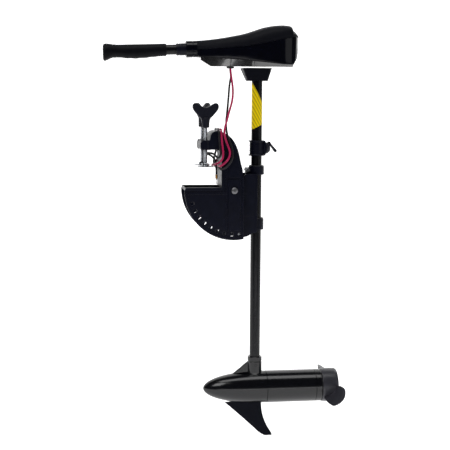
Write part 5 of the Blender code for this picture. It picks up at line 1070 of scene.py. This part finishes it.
def paper_sweep():
    """A pale sweep that starts in front of the motor and curves up behind it."""
    floor_z, reach, back, rise = low_of("skeg_fin", 2) * MM - 0.002, 9.0, 3.2, 6.0
    bend = 1.6
    line = [(-1.2, floor_z), (back - bend, floor_z)]
    line += [
        (back - bend + bend * math.sin(math.radians(a)), floor_z + bend * (1 - math.cos(math.radians(a))))
        for a in range(10, 91, 10)
    ]
    line.append((back, floor_z + rise))
    bm = bmesh.new()
    rows = [[bm.verts.new((x, y, z)) for y, z in line] for x in (-reach, reach)]
    for i in range(len(line) - 1):
        bm.faces.new((rows[0][i], rows[1][i], rows[1][i + 1], rows[0][i + 1]))
    made = bpy.data.meshes.new("sweep")
    bm.to_mesh(made)
    bm.free()
    made.polygons.foreach_set("use_smooth", [True] * len(made.polygons))
    paper, _, _, shader = shader_of("studio_paper")
    shader.inputs["Base Color"].default_value = (0.9, 0.9, 0.9, 1)
    shader.inputs["Roughness"].default_value = 0.9
    shader.inputs["Emission Color"].default_value = (1, 1, 1, 1)
    shader.inputs["Emission Strength"].default_value = 0.85
    made.materials.append(paper)
    sweep_object = bpy.data.objects.new("studio_sweep", made)
    bpy.context.scene.collection.objects.link(sweep_object)


def surroundings():
    """White where the camera looks past the sweep, and nearly dark for reflections."""
    world = bpy.data.worlds.new("studio")
    bpy.context.scene.world = world
    world.use_nodes = True
    links, shown = world.node_tree.links, world.node_tree.nodes["Background"]
    shown.inputs["Color"].default_value = (1, 1, 1, 1)
    dim = world.node_tree.nodes.new("ShaderNodeMapRange")
    dim.inputs["To Min"].default_value = 0.05
    dim.inputs["To Max"].default_value = 1.0
    links.new(world.node_tree.nodes.new("ShaderNodeLightPath").outputs["Is Camera Ray"], dim.inputs["Value"])
    links.new(dim.outputs["Result"], shown.inputs["Strength"])


def softbox(name, place, target, size, power):
    light = bpy.data.lights.new(name, "AREA")
    light.shape = "RECTANGLE"
    light.size, light.size_y = size
    light.energy = power
    holder = bpy.data.objects.new(name, light)
    holder.location = place
    holder.rotation_euler = (Vector(target) - Vector(place)).to_track_quat("-Z", "Y").to_euler()
    bpy.context.scene.collection.objects.link(holder)


def lights():
    middle = (0.1, 0, -0.15)
    softbox("key", (-1.7, -2.0, 2.1), middle, (1.2, 1.6), 30)
    softbox("fill", (2.6, -1.9, 0.7), middle, (1.6, 2.4), 10)
    softbox("low_strip", (0.2, -2.0, -0.66), (0.15, 0, -0.5), (2.6, 0.16), 4)
    softbox("top", (0.1, -0.55, 2.5), (0.1, 0, -0.3), (2.4, 1.2), 30)
    softbox("rim", (1.9, 1.7, 1.3), middle, (0.8, 2.0), 14)


def front_camera():
    camera = bpy.data.cameras.new("camera")
    camera.sensor_width = 36
    camera.lens = 85.92
    camera.clip_end = 60
    holder = bpy.data.objects.new("camera", camera)
    holder.location = (-0.3435, -2.8601, 0.2386)
    look = Vector((0.1382, 0.9833, -0.1184)).to_track_quat("-Z", "Y").to_matrix().to_4x4()
    holder.rotation_euler = (look @ Matrix.Rotation(math.radians(0.33), 4, "Z")).to_euler()
    bpy.context.scene.collection.objects.link(holder)
    bpy.context.scene.camera = holder
    bpy.context.scene.view_settings.view_transform = "Standard"


for name, node in frame["nodes"].items():
    node.data.materials.clear()
    node.data.materials.append(CARRIED[SLOT_OF[name]])

paper_sweep()
surroundings()
lights()
front_camera()
for colour, route, material in (("red", RED_ROUTE, RED_LEAD), ("black", BLACK_ROUTE, BLACK_LEAD)):
    lead(colour, route, material, terminal_sleeve(colour, route))
clamp_casting()
clamp_screws()
pivot_fasteners()
swivel()
depth_collar()
shaft()
shaft_label()
head()
base_pan()
bracket_and_grommet()
tiller()
motor()
fin()
propeller()
